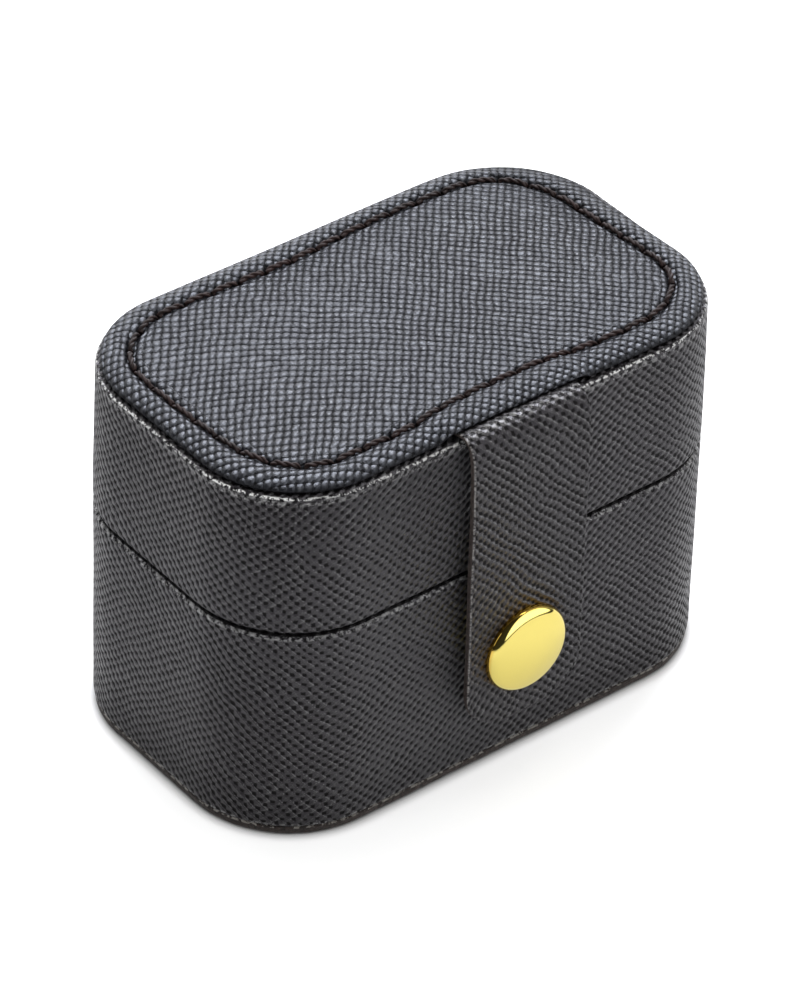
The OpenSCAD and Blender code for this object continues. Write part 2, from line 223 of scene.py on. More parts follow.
# A socket that can stand in a sum: an expression on it adds the Math nodes
class Wire:
    def __init__(self, finish, socket):
        self.finish = finish
        self.socket = socket

    def sum(self, operation, *others):
        return self.finish.add("ShaderNodeMath", {"operation": operation},
                               {i: v for i, v in enumerate((self,) + others)})

    def __add__(self, other): return self.sum("ADD", other)
    def __radd__(self, other): return self.sum("ADD", other)
    def __sub__(self, other): return self.sum("SUBTRACT", other)
    def __rsub__(self, other): return self.sum("MULTIPLY_ADD", -1.0, other)
    def __mul__(self, other): return self.sum("MULTIPLY", other)
    def __rmul__(self, other): return self.sum("MULTIPLY", other)
    def __truediv__(self, other): return self.sum("DIVIDE", other)
    def __pow__(self, other): return self.sum("POWER", other)
    def __abs__(self): return self.sum("ABSOLUTE")


# A node tree that a finish, the floor or the room is wired in
class Tree:
    def __init__(self, owner):
        owner.use_nodes = True
        self.nodes = owner.node_tree.nodes
        self.links = owner.node_tree.links
        self.nodes.clear()

    def feed(self, socket, value):
        if isinstance(value, Wire):
            self.links.new(value.socket, socket)
        elif isinstance(value, (tuple, list)) and socket.type == "RGBA":
            socket.default_value = tuple(value) + (1.0,) * (4 - len(value))
        else:
            socket.default_value = value

    # Any node: its type, its settings, the values or links of its sockets, and the output wanted
    def add(self, kind, settings=None, sockets=None, output=0):
        node = self.nodes.new(kind)
        for key, setting in (settings or {}).items():
            setattr(node, key, setting)
        for key, value in (sockets or {}).items():
            self.feed(node.inputs[key], value)
        return None if output is None else Wire(self, node.outputs[output])

    def mix(self, share, first, second):
        return self.add("ShaderNodeMix", {"data_type": "RGBA", "clamp_factor": True},
                        {0: share, 6: first, 7: second}, 2)

    def noise(self, place, scale, detail=2.0, roughness=0.5):
        return self.add("ShaderNodeTexNoise", {},
                        {"Vector": place, "Scale": scale, "Detail": detail, "Roughness": roughness})

    def ramp(self, value, low, high, toLow=0.0, toHigh=1.0, how="SMOOTHSTEP"):
        return self.add("ShaderNodeMapRange", {"interpolation_type": how},
                        {"Value": value, "From Min": low, "From Max": high,
                         "To Min": toLow, "To Max": toHigh})

    def vector(self, operation, first, *others, output=0):
        return self.add("ShaderNodeVectorMath", {"operation": operation},
                        {i: v for i, v in enumerate((first,) + others)}, output)

    def scaled(self, vector, factor):
        return self.add("ShaderNodeVectorMath", {"operation": "SCALE"}, {0: vector, "Scale": factor})

    def part(self, vector, axis):
        return self.add("ShaderNodeSeparateXYZ", {}, {0: vector}, axis)


# One material: its shader, and the nodes that feed it
class Finish(Tree):
    def __init__(self, name, **constants):
        self.material = bpy.data.materials.new(name)
        super().__init__(self.material)
        self.shader = self.principled(constants)
        self.output = self.nodes.new("ShaderNodeOutputMaterial")
        self.feed(self.output.inputs["Surface"], Wire(self, self.shader.outputs[0]))

    def principled(self, inputs):
        return self.set(self.nodes.new("ShaderNodeBsdfPrincipled"), inputs)

    def set(self, shader, inputs):
        for socket, value in inputs.items():
            self.feed(shader.inputs[socket.replace("_", " ")], value)
        return shader

    # Object coordinates in millimetres: the same at every pose, as every object sits at the origin
    def place(self):
        return self.scaled(self.add("ShaderNodeTexCoord", {}, {}, 3), 1 / mm)

    def surface(self, **inputs):
        self.set(self.shader, inputs)
        return self.material

    # A second, dark and dull shader that takes over where the mask is 1: its dark colour is painted shade
    def under(self, mask, **inputs):
        dull = self.principled(inputs)
        both = self.add("ShaderNodeMixShader", {}, {0: mask, 1: Wire(self, self.shader.outputs[0]),
                                                    2: Wire(self, dull.outputs[0])})
        self.feed(self.output.inputs["Surface"], both)

    def bump(self, height, distance):
        return self.add("ShaderNodeBump", {}, {"Height": height, "Distance": distance * mm,
                                               "Strength": 1.0})


def shade(tone, factor):
    return tuple(t * factor for t in tone)


# Cross-grained leather: two families of pressed ridges cross, which leaves rows of small raised
# cells with pits between them, darkened by painted shade. These are the wall's; each other leather changes
# its own.
grainForm = {
    "tone": (0.0085, 0.0068, 0.0078),
    # each family's pitch in mm, direction, height, and how much painted shade darkens the valley beside it
    "ridgeA": (1.0, 45.5, 0.6, 0.3),
    "ridgeB": (0.96, 130.0, 0.55, 0.2),
    "depth": 0.22,         # of the relief, mm
    "rough": 0.34,
    "gloss": 0.5,
    "tint": (0.96, 0.92, 1.0, 1.0),
    "wander": 0.5,         # how far the lines stray, mm
    "full": 0.9,           # above 1 the valleys are narrow
    "cells": 0.3,
    "pitted": 0.9,
    "broken": 1.1,
    "patchy": 0.28,
    # how pale the painted highlights on the ridges are
    "crestTone": 0.085,
    "stretches": (),       # start, end, how much one family rises, how much paler as painted light
    "handled": None,       # painted light and shade: middle height, reach, how much paler, height of the darker foot
    "drawn": None,         # where the leather was pulled from, and how much
    "rubbed": (),          # height, half width and strength of each painted highlight along an edge, which is also rubbed smoother
    "sideRub": None,       # half width of the strap, strength of the painted highlight on its left edge
    "shaded": (),          # height and half width of each dark turn into a joint
    "dullBelow": None,     # heights between which painted shade gives way to gloss
}
grainLooks = {
    # the colour that painted light lifts the leather towards
    "palest": (0.1, 0.1, 0.105),
    "glint": (0.3, 0.31, 0.32),
    "sideRub": (0.42, 0.4, 0.38),
    # the near-white of the painted edge highlights
    "rubbed": (1.0, 1.0, 0.98),
    "frontRight": (106, 98),    # the painted paler band runs out here, mm along the wall
}


def crossGrain(name, **changes):
    g = {**grainForm, **changes}
    tone, ridgeA, ridgeB = g["tone"], g["ridgeA"], g["ridgeB"]
    f = Finish(name, Specular_IOR_Level=g["gloss"], Specular_Tint=g["tint"])
    uv = f.add("ShaderNodeUVMap", {"uv_map": "grain"})
    moved = f.vector("ADD", uv, (57.0, 31.0, 5.0))
    flatU, flatV = f.part(uv, 0), f.part(uv, 1)
    u = flatU + (f.noise(uv, 0.11, 1.0) - 0.5) * (g["wander"] * 2)
    v = flatV + (f.noise(moved, 0.13, 1.0) - 0.5) * (g["wander"] * 2)

    def family(ridge, place, across):
        pitch, turn = ridge[0], math.radians(ridge[1])
        jitter = (f.noise(place, 0.3, 1.0) - 0.5) * 0.6 + (f.noise(place, 1.1, 1.0) - 0.5) * 0.24
        return across * (math.cos(turn) / pitch) + v * (math.sin(turn) / pitch) + jitter

    uA = u
    if g["drawn"]:
        # the leather was pulled at this end, which spreads one family of lines
        start, pull = g["drawn"]
        uA = u + (start - flatU).sum("MAXIMUM", 0.0) ** 2 * pull
    along, across = family(ridgeA, uv, uA), family(ridgeB, moved, u)
    phaseA, phaseB = along.sum("FRACT"), across.sum("FRACT")
    valleyA = (abs(phaseA - 0.5) * 2) ** g["full"]
    valleyB = (abs(phaseB - 0.5) * 2) ** g["full"]
    crestA, crestB = 1 - valleyA, 1 - valleyB
    dome = crestA * crestB
    cell = f.add("ShaderNodeCombineXYZ", {}, {0: along.sum("FLOOR"), 1: across.sum("FLOOR")})
    chance = f.add("ShaderNodeTexWhiteNoise", {"noise_dimensions": "2D"}, {"Vector": cell})
    fine = f.noise(uv, 4.2, 3.0, 0.65)
    worn = f.noise(f.place(), 0.05, 3.0)

    # sway: which of the two families stands higher
    sway = f.ramp(f.noise(moved, 0.045, 1.0), 0.35, 0.65, -g["patchy"], g["patchy"])
    paler = []
    for start, end, share, light in g["stretches"]:
        stretch = f.ramp(flatU, start - 5, start + 5) * f.ramp(flatU, end + 5, end - 5)
        sway = sway - stretch * share
        # painted light: this stretch is drawn paler
        if light:
            paler.append(stretch * light)
    upA, upB = 1 + sway, 1 - sway
    heightA, heightB = upA * ridgeA[2], upB * ridgeB[2]
    relief = crestA * heightA + crestB * heightB \
        + dome * (chance * 0.6 + 0.5) * g["cells"] + (fine - 0.5) * 0.4
    # painted shade in the valleys and pits: where the mask is high, the dark under shader takes over
    pit = valleyA ** 2 * ridgeA[3] * upA + valleyB ** 2 * ridgeB[3] * upB \
        + valleyA * valleyB * g["pitted"] + (fine - 0.5) * g["broken"] + (chance - 0.5) * 0.3
    mask = f.ramp(pit + (worn - 0.5) * 0.3, 0.42, 0.86)

    colour = f.mix(f.ramp(worn, 0.3, 0.7) * 0.4 + chance * 0.6, shade(tone, 0.65), shade(tone, 1.4))
    if g["crestTone"]:
        # painted highlights: the tops of the ridges are paler, and so are the sides that face up to the
        # light
        line = crestA ** 4 * heightA + crestB ** 4 * heightB
        colour = f.mix(f.ramp(line * (fine + 0.5) + dome * 0.2, 0.25, 1.3) * 0.8, colour,
                       (g["crestTone"] * 0.7,) * 3)
        lit = f.ramp(abs(phaseA - 0.7), 0.13, 0.03) * heightA \
            + f.ramp(abs(phaseB - 0.3), 0.13, 0.03) * heightB
        lit = lit * f.ramp(fine + (chance - 0.5) * 0.25, 0.42, 0.62)
        colour = f.mix(f.ramp(lit, 0.1, 0.6), colour, (g["crestTone"] * 1.7,) * 3)
    if g["handled"]:
        # painted light and shade: paler round the seam, darker and duller towards the floor
        middle, reach, share, low = g["handled"]
        paler.append(f.ramp(abs(flatV - middle), reach, reach * 0.25)
                     * f.ramp(flatU, *grainLooks["frontRight"]) * share)
        mask = mask + f.ramp(flatV, low, 1.5) * 0.22
    # painted light: the paler stretches and the paler band round the seam
    if paler:
        colour = f.mix(sum(paler), colour, grainLooks["palest"])
    glint = f.ramp(chance, 0.9, 0.98) * f.ramp(dome + fine * 0.4, 0.95, 1.2)
    colour = f.mix(glint * 0.45, colour, grainLooks["glint"])
    if g["sideRub"]:
        # painted highlight: the light line along the strap's left cut edge
        halfWidth, share = g["sideRub"]
        speck = f.ramp(f.noise(moved, 3.2, 3.0, 0.7), 0.42, 0.55)
        light = f.ramp(f.part(f.place(), 0) * -1, halfWidth - 0.3, halfWidth - 0.08) * speck * share
        colour = f.mix(light, colour, grainLooks["sideRub"])
        mask = mask * (1 - light)
    for middle, width in g["shaded"]:
        # leather turned into a joint: no light reaches it
        mask = mask.sum("MAXIMUM", f.ramp(abs(flatV - middle), width, width * 0.6))
    # painted shade on the panel's rolled edge, below its top
    if g["dullBelow"]:
        dull, glossy = g["dullBelow"]
        mask = mask.sum("MAXIMUM", f.ramp(f.part(f.place(), 2), glossy, dull) * 0.75)
    roughness = f.ramp(worn, 0.3, 0.75, g["rough"] + 0.07, g["rough"] - 0.05) + (chance - 0.5) * 0.12
    if g["rubbed"]:
        dashes = f.ramp(f.noise(moved, 2.0, 2.0, 0.6) + chance * 0.12, 0.54, 0.6) \
            * f.ramp(f.noise(f.place(), 0.09, 1.0), 0.38, 0.6, 0.65, 1.0)
    for middle, width, share in g["rubbed"]:
        # painted highlight along an edge, in dashes; the edge is also rubbed smoother
        band = f.ramp(abs(flatV - middle), width, width * 0.35)
        roughness = roughness - band * 0.12
        light = band * dashes * share
        colour = f.mix(light, colour, grainLooks["rubbed"])
        mask = mask * (1 - light)
    normal = f.bump(relief, g["depth"])
    # painted shade: a darker, duller copy of the leather takes over where the mask is 1
    f.under(mask * 0.95, Base_Color=shade(tone, 0.35), Roughness=0.75,
            Specular_IOR_Level=0.12, Normal=normal)
    return f.surface(Base_Color=colour, Roughness=roughness, Normal=normal)


def suede(name, tone):
    f = Finish(name, Specular_IOR_Level=0.25)
    place = f.place()
    fibre = f.noise(place, 2.2, 4.0, 0.65)
    broad = f.noise(place, 0.12, 2.0)
    colour = f.mix(f.ramp(fibre, 0.3, 0.7), shade(tone, 0.6), shade(tone, 1.35))
    return f.surface(Base_Color=colour, Roughness=0.85 + (broad - 0.5) * 0.2,
                     Normal=f.bump(fibre, 0.05))


def velvet(name, tone, sheen):
    f = Finish(name, Specular_IOR_Level=0.1, Sheen_Weight=sheen, Sheen_Roughness=0.35,
               Sheen_Tint=(0.75, 0.78, 0.85, 1.0))
    place = f.place()
    pile = f.noise(place, 5.5, 3.0, 0.7)
    brushed = f.noise(place, 0.16, 3.0, 0.55)
    lay = f.ramp(brushed, 0.35, 0.68, 0.6, 1.7)
    colour = f.mix(f.ramp(pile, 0.3, 0.75), shade(tone, 0.5), shade(tone, 1.5))
    return f.surface(Base_Color=f.scaled(colour, lay), Roughness=0.75 + (brushed - 0.5) * 0.3,
                     Normal=f.bump(pile + brushed * 0.5, 0.12))


def polished(name, tone, rough=0.05, rim=None):
    f = Finish(name, Metallic=1.0)
    place = f.place()
    smear = f.noise(place, 0.25, 3.0)
    hairline = f.noise(f.vector("MULTIPLY", place, (1.0, 1.0, 14.0)), 1.7, 4.0, 0.6)
    colour = f.mix(f.ramp(smear, 0.3, 0.7), shade(tone, 0.97), tone)
    if rim:
        # painted reflection: the rolled rim is darker and redder, between two distances from the cap's
        # middle
        middle, start, end, rimTone = rim
        away = f.vector("DISTANCE", f.vector("MULTIPLY", place, (1.0, 0.0, 1.0)), middle, output=1)
        colour = f.mix(f.ramp(away, start, end), colour, rimTone)
    roughness = rough + f.ramp(smear, 0.35, 0.75, 0.0, 0.03) + f.ramp(hairline, 0.62, 0.8, 0.0, 0.06)
    return f.surface(Base_Color=colour, Roughness=roughness, Normal=f.bump(hairline, 0.0025))


def plain(name, tone, rough=0.6, scale=1.2, depth=0.02, spread=0.15, specular=0.4):
    f = Finish(name, Specular_IOR_Level=specular)
    place = f.place()
    grain = f.noise(place, scale, 4.0, 0.6)
    broad = f.noise(place, 0.1, 2.0)
    share = f.ramp(grain + (broad - 0.5) * 0.8, 0.25, 0.75)
    colour = f.mix(share, shade(tone, 1 - spread), shade(tone, 1 + spread))
    return f.surface(Base_Color=colour, Roughness=rough + (broad - 0.5) * 0.15,
                     Normal=f.bump(grain, depth))


def boardEdge(name, tone, topZ):
    # rough covered board, with painted highlights in dashes along its upper edge
    f = Finish(name, Specular_IOR_Level=0.35)
    place = f.place()
    grain = f.noise(place, 1.9, 4.0, 0.65)
    dashes = f.ramp(f.noise(place, 1.3, 2.0, 0.6), 0.47, 0.56)
    # painted highlights in dashes near the board's top
    light = f.ramp(f.part(place, 2), topZ - 0.34, topZ - 0.16) * dashes
    colour = f.mix(f.ramp(grain, 0.3, 0.7), shade(tone, 0.35), shade(tone, 1.7))
    colour = f.mix(light * 0.85, colour, (0.5, 0.47, 0.43))
    return f.surface(Base_Color=colour, Roughness=0.7 - grain * 0.25, Normal=f.bump(grain, 0.7))


finishes = {
    "wall": crossGrain(
        "wallLeather",
        # painted highlights, in dashes, along the lid's shoulder, the seam and the foot
        rubbed=[(lidTop - 0.8, 0.55, 0.2), (lidTop - 0.22, 0.25, 1.0),
                (rimZ - 0.3, 0.42, 0.35), (footZ + 0.4, 0.26, 0.3)],
        shaded=[(rimZ + 0.05, 0.1), (lidFoot - 0.05, 0.12)],
        # the first stretch is also drawn paler: painted light
        stretches=[(80.0, 101.0, 0.5, 0.2), (30.0, 68.0, -0.5, 0.0)],
        # painted light and shade: paler round the seam, darker towards the floor
        handled=(31.0, 16.0, 0.12, 8.5)),
    "hinge": crossGrain("hingeLeather"),
    "panel": crossGrain(
        "panelLeather", tone=(0.0125, 0.0118, 0.0145), ridgeA=(0.95, 47.0, 0.3, 0.38),
        ridgeB=(0.93, 140.0, 0.42, 0.44), depth=0.2, rough=0.31, gloss=0.62,
        tint=(0.8, 0.86, 0.98, 1.0), wander=0.22, full=2.0, cells=1.0, pitted=1.6, patchy=0.3,
        # painted shade on the rolled edge below the panel's top
        crestTone=None, drawn=(5.0, 0.0068), dullBelow=(panelTop - 0.95, panelTop - 0.28)),
    # its painted highlight, on a band rubbed smoother, is where the strap turns down over the lid's front
    # edge
    "strap": crossGrain(
        "strapLeather", tone=(0.0085, 0.007, 0.0075), ridgeA=(0.96, 42.1, 0.45, 0.25),
        ridgeB=(0.97, 135.7, 0.7, 0.3), depth=0.2, cells=0.35, patchy=0.4,
        # painted highlight along the strap's left edge
        rubbed=[(16.6, 0.8, 0.2)], sideRub=(strapHigh[0], 0.7)),
    "sole": boardEdge("soleLeather", (0.03, 0.021, 0.018), boxOf("sole")[1][2]),
    "edge": suede("cutEdge", (0.075, 0.06, 0.055)),
    "backing": suede("strapBacking", (0.03, 0.022, 0.018)),
    "thread": plain("threadBrown", (0.017, 0.0078, 0.007), 0.6, 3.0, 0.04, 0.5, 0.25),
    "velvet": velvet("blackVelvet", (0.02, 0.02, 0.024), 0.8),
    "gold": polished("goldPlate", (0.90, 0.75, 0.205),
                     # painted reflection: darker, redder colour on the rolled rim
                     rim=((capX, 0.0, capZ), 5.55, 5.9, (0.72, 0.40, 0.05))),
    "steel": polished("steelWire", (0.55, 0.55, 0.56), 0.22),
    "shell": plain("shellPlastic", (0.02, 0.02, 0.021), 0.5),
    "card": plain("greyCard", (0.26, 0.235, 0.2), 0.85, 0.9, 0.03, 0.2),
}
print("finishes made")


# Gives a piece its finishes, body and replaced nodes
def dress(piece, looks, body=None, replaced=()):
    for look in looks.split():
        piece.data.materials.append(finishes[look])
    if body:
        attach(piece, body)
    if replaced:
        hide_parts(*replaced)


# Base wrap and lid wrap
wallForm = {
    "step": 0.8,
    "bottomR": 0.5,
    "seamR": 0.8,
    "shoulderR": 0.65,
    "bulge": 0.07,
    "ripple": 0.05,
    "lidTaper": 0.36,
    "baseFlare": 0.1,
    "flatStep": 0.8,
    "wallStep": 1.2,
    "innerStep": 1.0,
}


# Hand-wrapped leather: soft bulges, a lean at the top or foot, and a rippled edge
def unevenWall(seed, lowZ, highZ, leanTop, leanBottom):
    def wobble(points, loop):
        for row, column in zip(loop, points):
            for p in column:
                t = min(1.0, max(0.0, (p[2] - lowZ) / (highZ - lowZ)))
                soft = uneven(p[0] * 0.07 + seed, p[1] * 0.07, p[2] * 0.07)
                out = soft * wallForm["bulge"] * math.sin(math.pi * t) \
                    - leanTop * t ** 1.5 + leanBottom * (1 - t) ** 2
                edge = uneven(p[0] * 0.22, p[1] * 0.22 + seed, 3.0 * round(t))
                p += (row[2] * out, row[3] * out, edge * wallForm["ripple"])
    return wobble


# The wrap's outer face from its turned edge below to its turned edge above
def wrapProfile(low, high, lowR, highR, turnLow, turnHigh):
    flat = wallForm["flatStep"]
    outer = [(-turnLow, low)] + evenly((-turnLow, low), (-lowR, low), flat)
    outer += arcPoints(-lowR, low + lowR, lowR, -90, 0, 6)
    outer += evenly((0, low + lowR), (0, high - highR), wallForm["wallStep"])
    outer += arcPoints(-highR, high - highR, highR, 0, 90, 7)
    outer += evenly((-highR, high), (-turnHigh, high), flat) + [(-turnHigh, high)]
    return outer


def baseWrapProfile():
    t, inner, inside = box["wrapT"], box["baseInner"], rimZ - box["turnIn"]
    run = wrapProfile(footZ, rimZ, wallForm["bottomR"], wallForm["seamR"], box["turnW"], inner)
    run += evenly((-inner, rimZ), (-inner, inside), wallForm["innerStep"]) + [(-inner, inside)]
    back = [(-inner + t, inside), (-inner + t, rimZ - t), (-t, rimZ - t), (-t, footZ + t),
            (-box["turnW"], footZ + t)]
    return measured(run) + [(x, z, z) for x, z in back]


def lidWrapProfile():
    t, inner, inside = box["wrapT"], box["lidInner"], lidFoot + box["turnIn"]
    run = [(-inner, inside)] + evenly((-inner, inside), (-inner, lidFoot), wallForm["innerStep"])
    run += wrapProfile(lidFoot, lidTop, wallForm["seamR"], wallForm["shoulderR"], inner, box["turnW"])
    back = [(-box["turnW"], lidTop - t), (-t, lidTop - t), (-t, lidFoot + t),
            (-inner + t, lidFoot + t), (-inner + t, inside)]
    return measured(run) + [(x, z, z) for x, z in back]


baseWrap = sweptWall("baseWrap", baseWrapProfile(), wallForm["step"],
                     unevenWall(4.0, footZ, rimZ, 0.0, wallForm["baseFlare"]))
dress(baseWrap, "wall", "base", ["base_wrap"])
lidWrap = sweptWall("lidWrap", lidWrapProfile(), wallForm["step"],
                    unevenWall(9.0, lidFoot, lidTop, wallForm["lidTaper"], 0.0))
dress(lidWrap, "wall", "lid", ["lid_wrap"])
print("walls wrapped")


# A flat strip of some thickness that follows a path in y and z. Each row of the path holds
# y, z, the outward normal, the distance walked and the half width there.
def strapSheet(name, rows, thick, edgeR, across, shape, grain=(0.0, 0.0)):
    side = arcPoints(0, 0, edgeR, 90, 0, 4)
    # each column: its share of the half width, how far in from the cut edge, and its depth
    columns = [(-1, edgeR - x, edgeR - y) for x, y in reversed(side)]
    columns += [(-1 + 2 * i / across, 0.0, 0.0) for i in range(1, across)]
    columns += [(1, edgeR - x, edgeR - y) for x, y in side]
    columns += [(1, edgeR - x, thick - edgeR + y) for x, y in reversed(side)]
    columns += [(-1 + 2 * i / across, 0.0, thick) for i in range(across - 1, 0, -1)]
    columns += [(-1, edgeR - x, thick - edgeR + y) for x, y in side]
    points, uvs = [], []
    for y, z, ny, nz, walked, half in rows:
        for share, pull, depth in columns:
            edge = share if abs(share) == 1 else 0
            x = share * (half - pull) if edge else share * (half - edgeR)
            points.append(shape([x, y - ny * depth, z - nz * depth], depth))
            uvs.append((x + edge * (pull + depth) + grain[0], walked + grain[1]))
    count = len(columns)
    faces, corners = gridFaces(len(rows), count, False, True)
    coords = [uvs[i * count + j % count] for face in corners for i, j in face]
    slots = []
    for i in range(len(faces)):
        share, _, depth = columns[i % count]
        middle = (depth + columns[(i + 1) % count][2]) / 2
        cutEdge = abs(share) == 1 and edgeR * 0.6 < middle < thick * 0.98
        slots.append(int(cutEdge))
    # the two cut ends
    for end in (0, len(rows) - 1):
        ring = [end * count + j for j in range(count)]
        faces.append(tuple(ring if end else reversed(ring)))
        coords += [uvs[v] for v in faces[-1]]
        slots.append(1)
    return makeMesh(name, points, faces, coords, slots)


# Hinge leather across the back: one strip, glued to base and lid, pinched in at the seam
hingeForm = {
    "edgeR": 0.3,
    "step": 0.5,
    "cornerR": 2.5,
    "pinch": 0.16,
    "pinchReach": 0.9,
    "thinned": 0.25,
    "thinReach": 0.6,
    "across": 60,
}
leafLow = boxOf("hinge_leaf_base")[0]
leafHigh = boxOf("hinge_leaf_lid")[1]


# Half width of a strip with round corners at height z
def roundedStrip(halfW, lowZ, highZ, cornerR, z):
    for inside in (z - lowZ, highZ - z):
        if inside < cornerR:
            return halfW - cornerR + cornerR * quarter(max(0.0, inside) / cornerR)
    return halfW


def hingeRows():
    heights = [leafLow[2]]
    while heights[-1] < leafHigh[2]:
        z = heights[-1]
        near = min(z - leafLow[2], leafHigh[2] - z)
        heights.append(z + (0.06 if near < 0.25 else 0.2 if near < 2.5 else hingeForm["step"]))
    heights[-1] = leafHigh[2]
    rows = []
    for z in heights:
        half = roundedStrip(leafHigh[0], leafLow[2], leafHigh[2], hingeForm["cornerR"], z)
        pinch = hingeForm["pinch"] * math.exp(-((z - seamZ) / hingeForm["pinchReach"]) ** 2)
        near = min(z - leafLow[2], leafHigh[2] - z)
        thin = hingeForm["thinned"] * max(0.0, 1 - near / hingeForm["thinReach"]) ** 2
        rows.append((leafHigh[1] - pinch - thin, z, 1.0, 0.0, z, half))
    return rows


def hingeShape(p, depth):
    if depth < 0.2:   # the outer face
        p[1] += 0.05 * uneven(p[0] * 0.3, p[2] * 0.3, 2.0)
    return p


hingeThick = leafHigh[1] - box["halfD"] - hingeForm["pinch"] - hingeForm["thinned"]
hinge = strapSheet("hingeLeather", hingeRows(), hingeThick, hingeForm["edgeR"], hingeForm["across"],
                   hingeShape)
dress(hinge, "hinge edge", None, ["hinge_leaf_base", "hinge_leaf_lid"])
(seamZ - 0.9) * mm
(seamZ + 0.9) * mm
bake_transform(hinge)
print("hinge leather made")


# Strap: one leather strip that is glued under the panel, bends over the lid's front edge and hangs
# down the front to the snap
strapForm = {
    # y, and height above the lid's flat top
    "path": [(-16.35, 0.56), (-18.0, 0.57), (-19.5, 0.58), (-20.8, 0.75), (-21.6, 0.88),
             (-22.55, 0.5), (-23.35, -0.35), (-23.8, -1.6), (-24.02, -3.8), (-24.15, -8.1),
             (-24.2, -12.1), (-24.25, -19.0), (-24.35, -25.1), (-24.38, -30.0), (-24.4, -35.1),
             (-24.38, -38.9), (-24.33, -42.0)],
    "thick": 0.55,
    "step": 0.45,
    "edgeR": 0.2,
    "endR": 6.0,
    "across": 44,
    "dimple": 0.22,
    "dimpleReach": 2.2,
    "wave": 0.07,
    "pivot": (-21.35, 0.55),
    "bendBefore": 0.55,
    "bendAfter": 1.35,
}


# A smooth curve through points, in fine steps, and the distance walked at each
def smoothPath(points):
    pts = np.array(points)
    chord = np.append(0, np.cumsum(np.linalg.norm(np.diff(pts, axis=0), axis=1)))
    slope = np.zeros_like(pts)
    slope[1:-1] = (pts[2:] - pts[:-2]) / (chord[2:] - chord[:-2])[:, None]
    slope[0] = (pts[1] - pts[0]) / (chord[1] - chord[0])
    slope[-1] = (pts[-1] - pts[-2]) / (chord[-1] - chord[-2])
    fine = []
    for i, h in enumerate(np.diff(chord)):
        for k in range(24):
            t = k / 24
            fine.append((2 * t ** 3 - 3 * t ** 2 + 1) * pts[i] + (t ** 3 - 2 * t ** 2 + t) * h * slope[i]
                        + (3 * t ** 2 - 2 * t ** 3) * pts[i + 1] + (t ** 3 - t ** 2) * h * slope[i + 1])
    fine = np.array(fine + [pts[-1]])
    return fine, np.append(0, np.cumsum(np.linalg.norm(np.diff(fine, axis=0), axis=1)))


# Rows along a path for strapSheet: even steps, then finer ones round the strip's round end
def pathRows(points, step, halfW, endR):
    fine, length = smoothPath(points)
    total = length[-1]
    stops, s = [], 0.0
    while s < total - endR - step:
        stops.append(s)
        s += step
    stops += [total - endR * (1 - math.sin(math.radians(90 * i / 24))) for i in range(25)]

    def spot(s):
        return np.array([np.interp(s, length, fine[:, i]) for i in (0, 1)])

    rows = []
    for s in stops:
        ahead, behind = spot(min(total, s + 0.3)), spot(max(0.0, s - 0.3))
        t = (ahead - behind) / np.linalg.norm(ahead - behind)
        left = max(0.0, endR - (total - s))
        half = halfW - endR + math.sqrt(max(0.0, endR ** 2 - left ** 2))
        rows.append((*spot(s), t[1], -t[0], s, half))
    return rows


# The hanging part sinks in round the cap, waves a little and turns in at its sides
def strapShape(p, depth):
    hang = min(1.0, max(0.0, (lidTop - 1.6 - p[2]) / 6))
    beyond = max(0.0, math.hypot(p[0] - capX, p[2] - capZ) - (capHigh[0] - capLow[0]) / 2 * 0.9)
    dip = strapForm["dimple"] * math.exp(-(beyond / strapForm["dimpleReach"]) ** 2)
    soft = strapForm["wave"] * uneven(p[0] * 0.12, p[2] * 0.09, 7.0)
    side = -0.06 * max(0.0, abs(p[0]) - 6.6) / 2.0
    p[1] += (dip + soft + side) * hang * (1.0 if depth < 0.3 else 0.6)
    return p


strapPath = [(y, z + lidTop) for y, z in strapForm["path"]]
strapRows = pathRows(strapPath, strapForm["step"], strapHigh[0], strapForm["endR"])
strap = strapSheet("strapLeather", strapRows, strapForm["thick"], strapForm["edgeR"],
                   strapForm["across"], strapShape, (30.0, 11.0))
dress(strap, "strap edge", None, ["strap_outer", "strap_tab"])
pivotY, pivotZ = strapForm["pivot"][0], lidTop + strapForm["pivot"][1]
(pivotY + strapForm["bendBefore"]) * mm
pivotZ * mm
(pivotY - strapForm["bendAfter"]) * mm
pivotZ * mm
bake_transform(strap)

liningForm = {"thick": 0.45, "inset": 0.14, "edgeR": 0.16, "across": 24}
backTop = boxOf("strap_backing")[1][2]
backRows = [(y - ny * strapForm["thick"], z - nz * strapForm["thick"], ny, nz, s,
             half - liningForm["inset"])
            for y, z, ny, nz, s, half in strapRows if z < backTop + 0.2]
y, z, *others = backRows[-1]
backRows[-1] = (y, z + 0.12, *others)   # its end stops short of the strap's
strapLining = strapSheet("strapLining", backRows, liningForm["thick"], liningForm["edgeR"],
                         liningForm["across"], strapShape, (5.0, 3.0))
dress(strapLining, "backing edge", "strap", ["strap_backing"])
print("strap made")


# Snap cap, turned in fine steps: a low dome with a broad rolled edge, and the hollow post behind it
# whose end is rolled over inside the socket
capForm = {
    "sides": 128,
    "outer": 5.86,
    "domeR": 16.0,
    "edgeR": 1.42,
    "edgeZ": -0.08,
    "baseY": -24.3,
    "boreR": 1.95,
    "postT": 0.35,
    "rollT": 0.15,
}


# A profile of radius and height turned round an axis in y
def turned(name, profile, sides, centre):
    points = []
    for k in range(sides):
        a = 2 * math.pi * k / sides
        points += [(centre[0] + r * math.cos(a), centre[1] - h, centre[2] + r * math.sin(a))
                   for r, h in profile]
    count = len(profile)
    faces, _ = gridFaces(sides, count, True, False)
    middle = len(points)
    points += [(centre[0], centre[1] - profile[end][1], centre[2]) for end in (0, -1)]
    for k in range(sides):
        k2 = (k + 1) % sides
        faces.append((middle, k2 * count, k * count))
        faces.append((middle + 1, k * count + count - 1, k2 * count + count - 1))
    return makeMesh(name, points, faces, sharp=40)


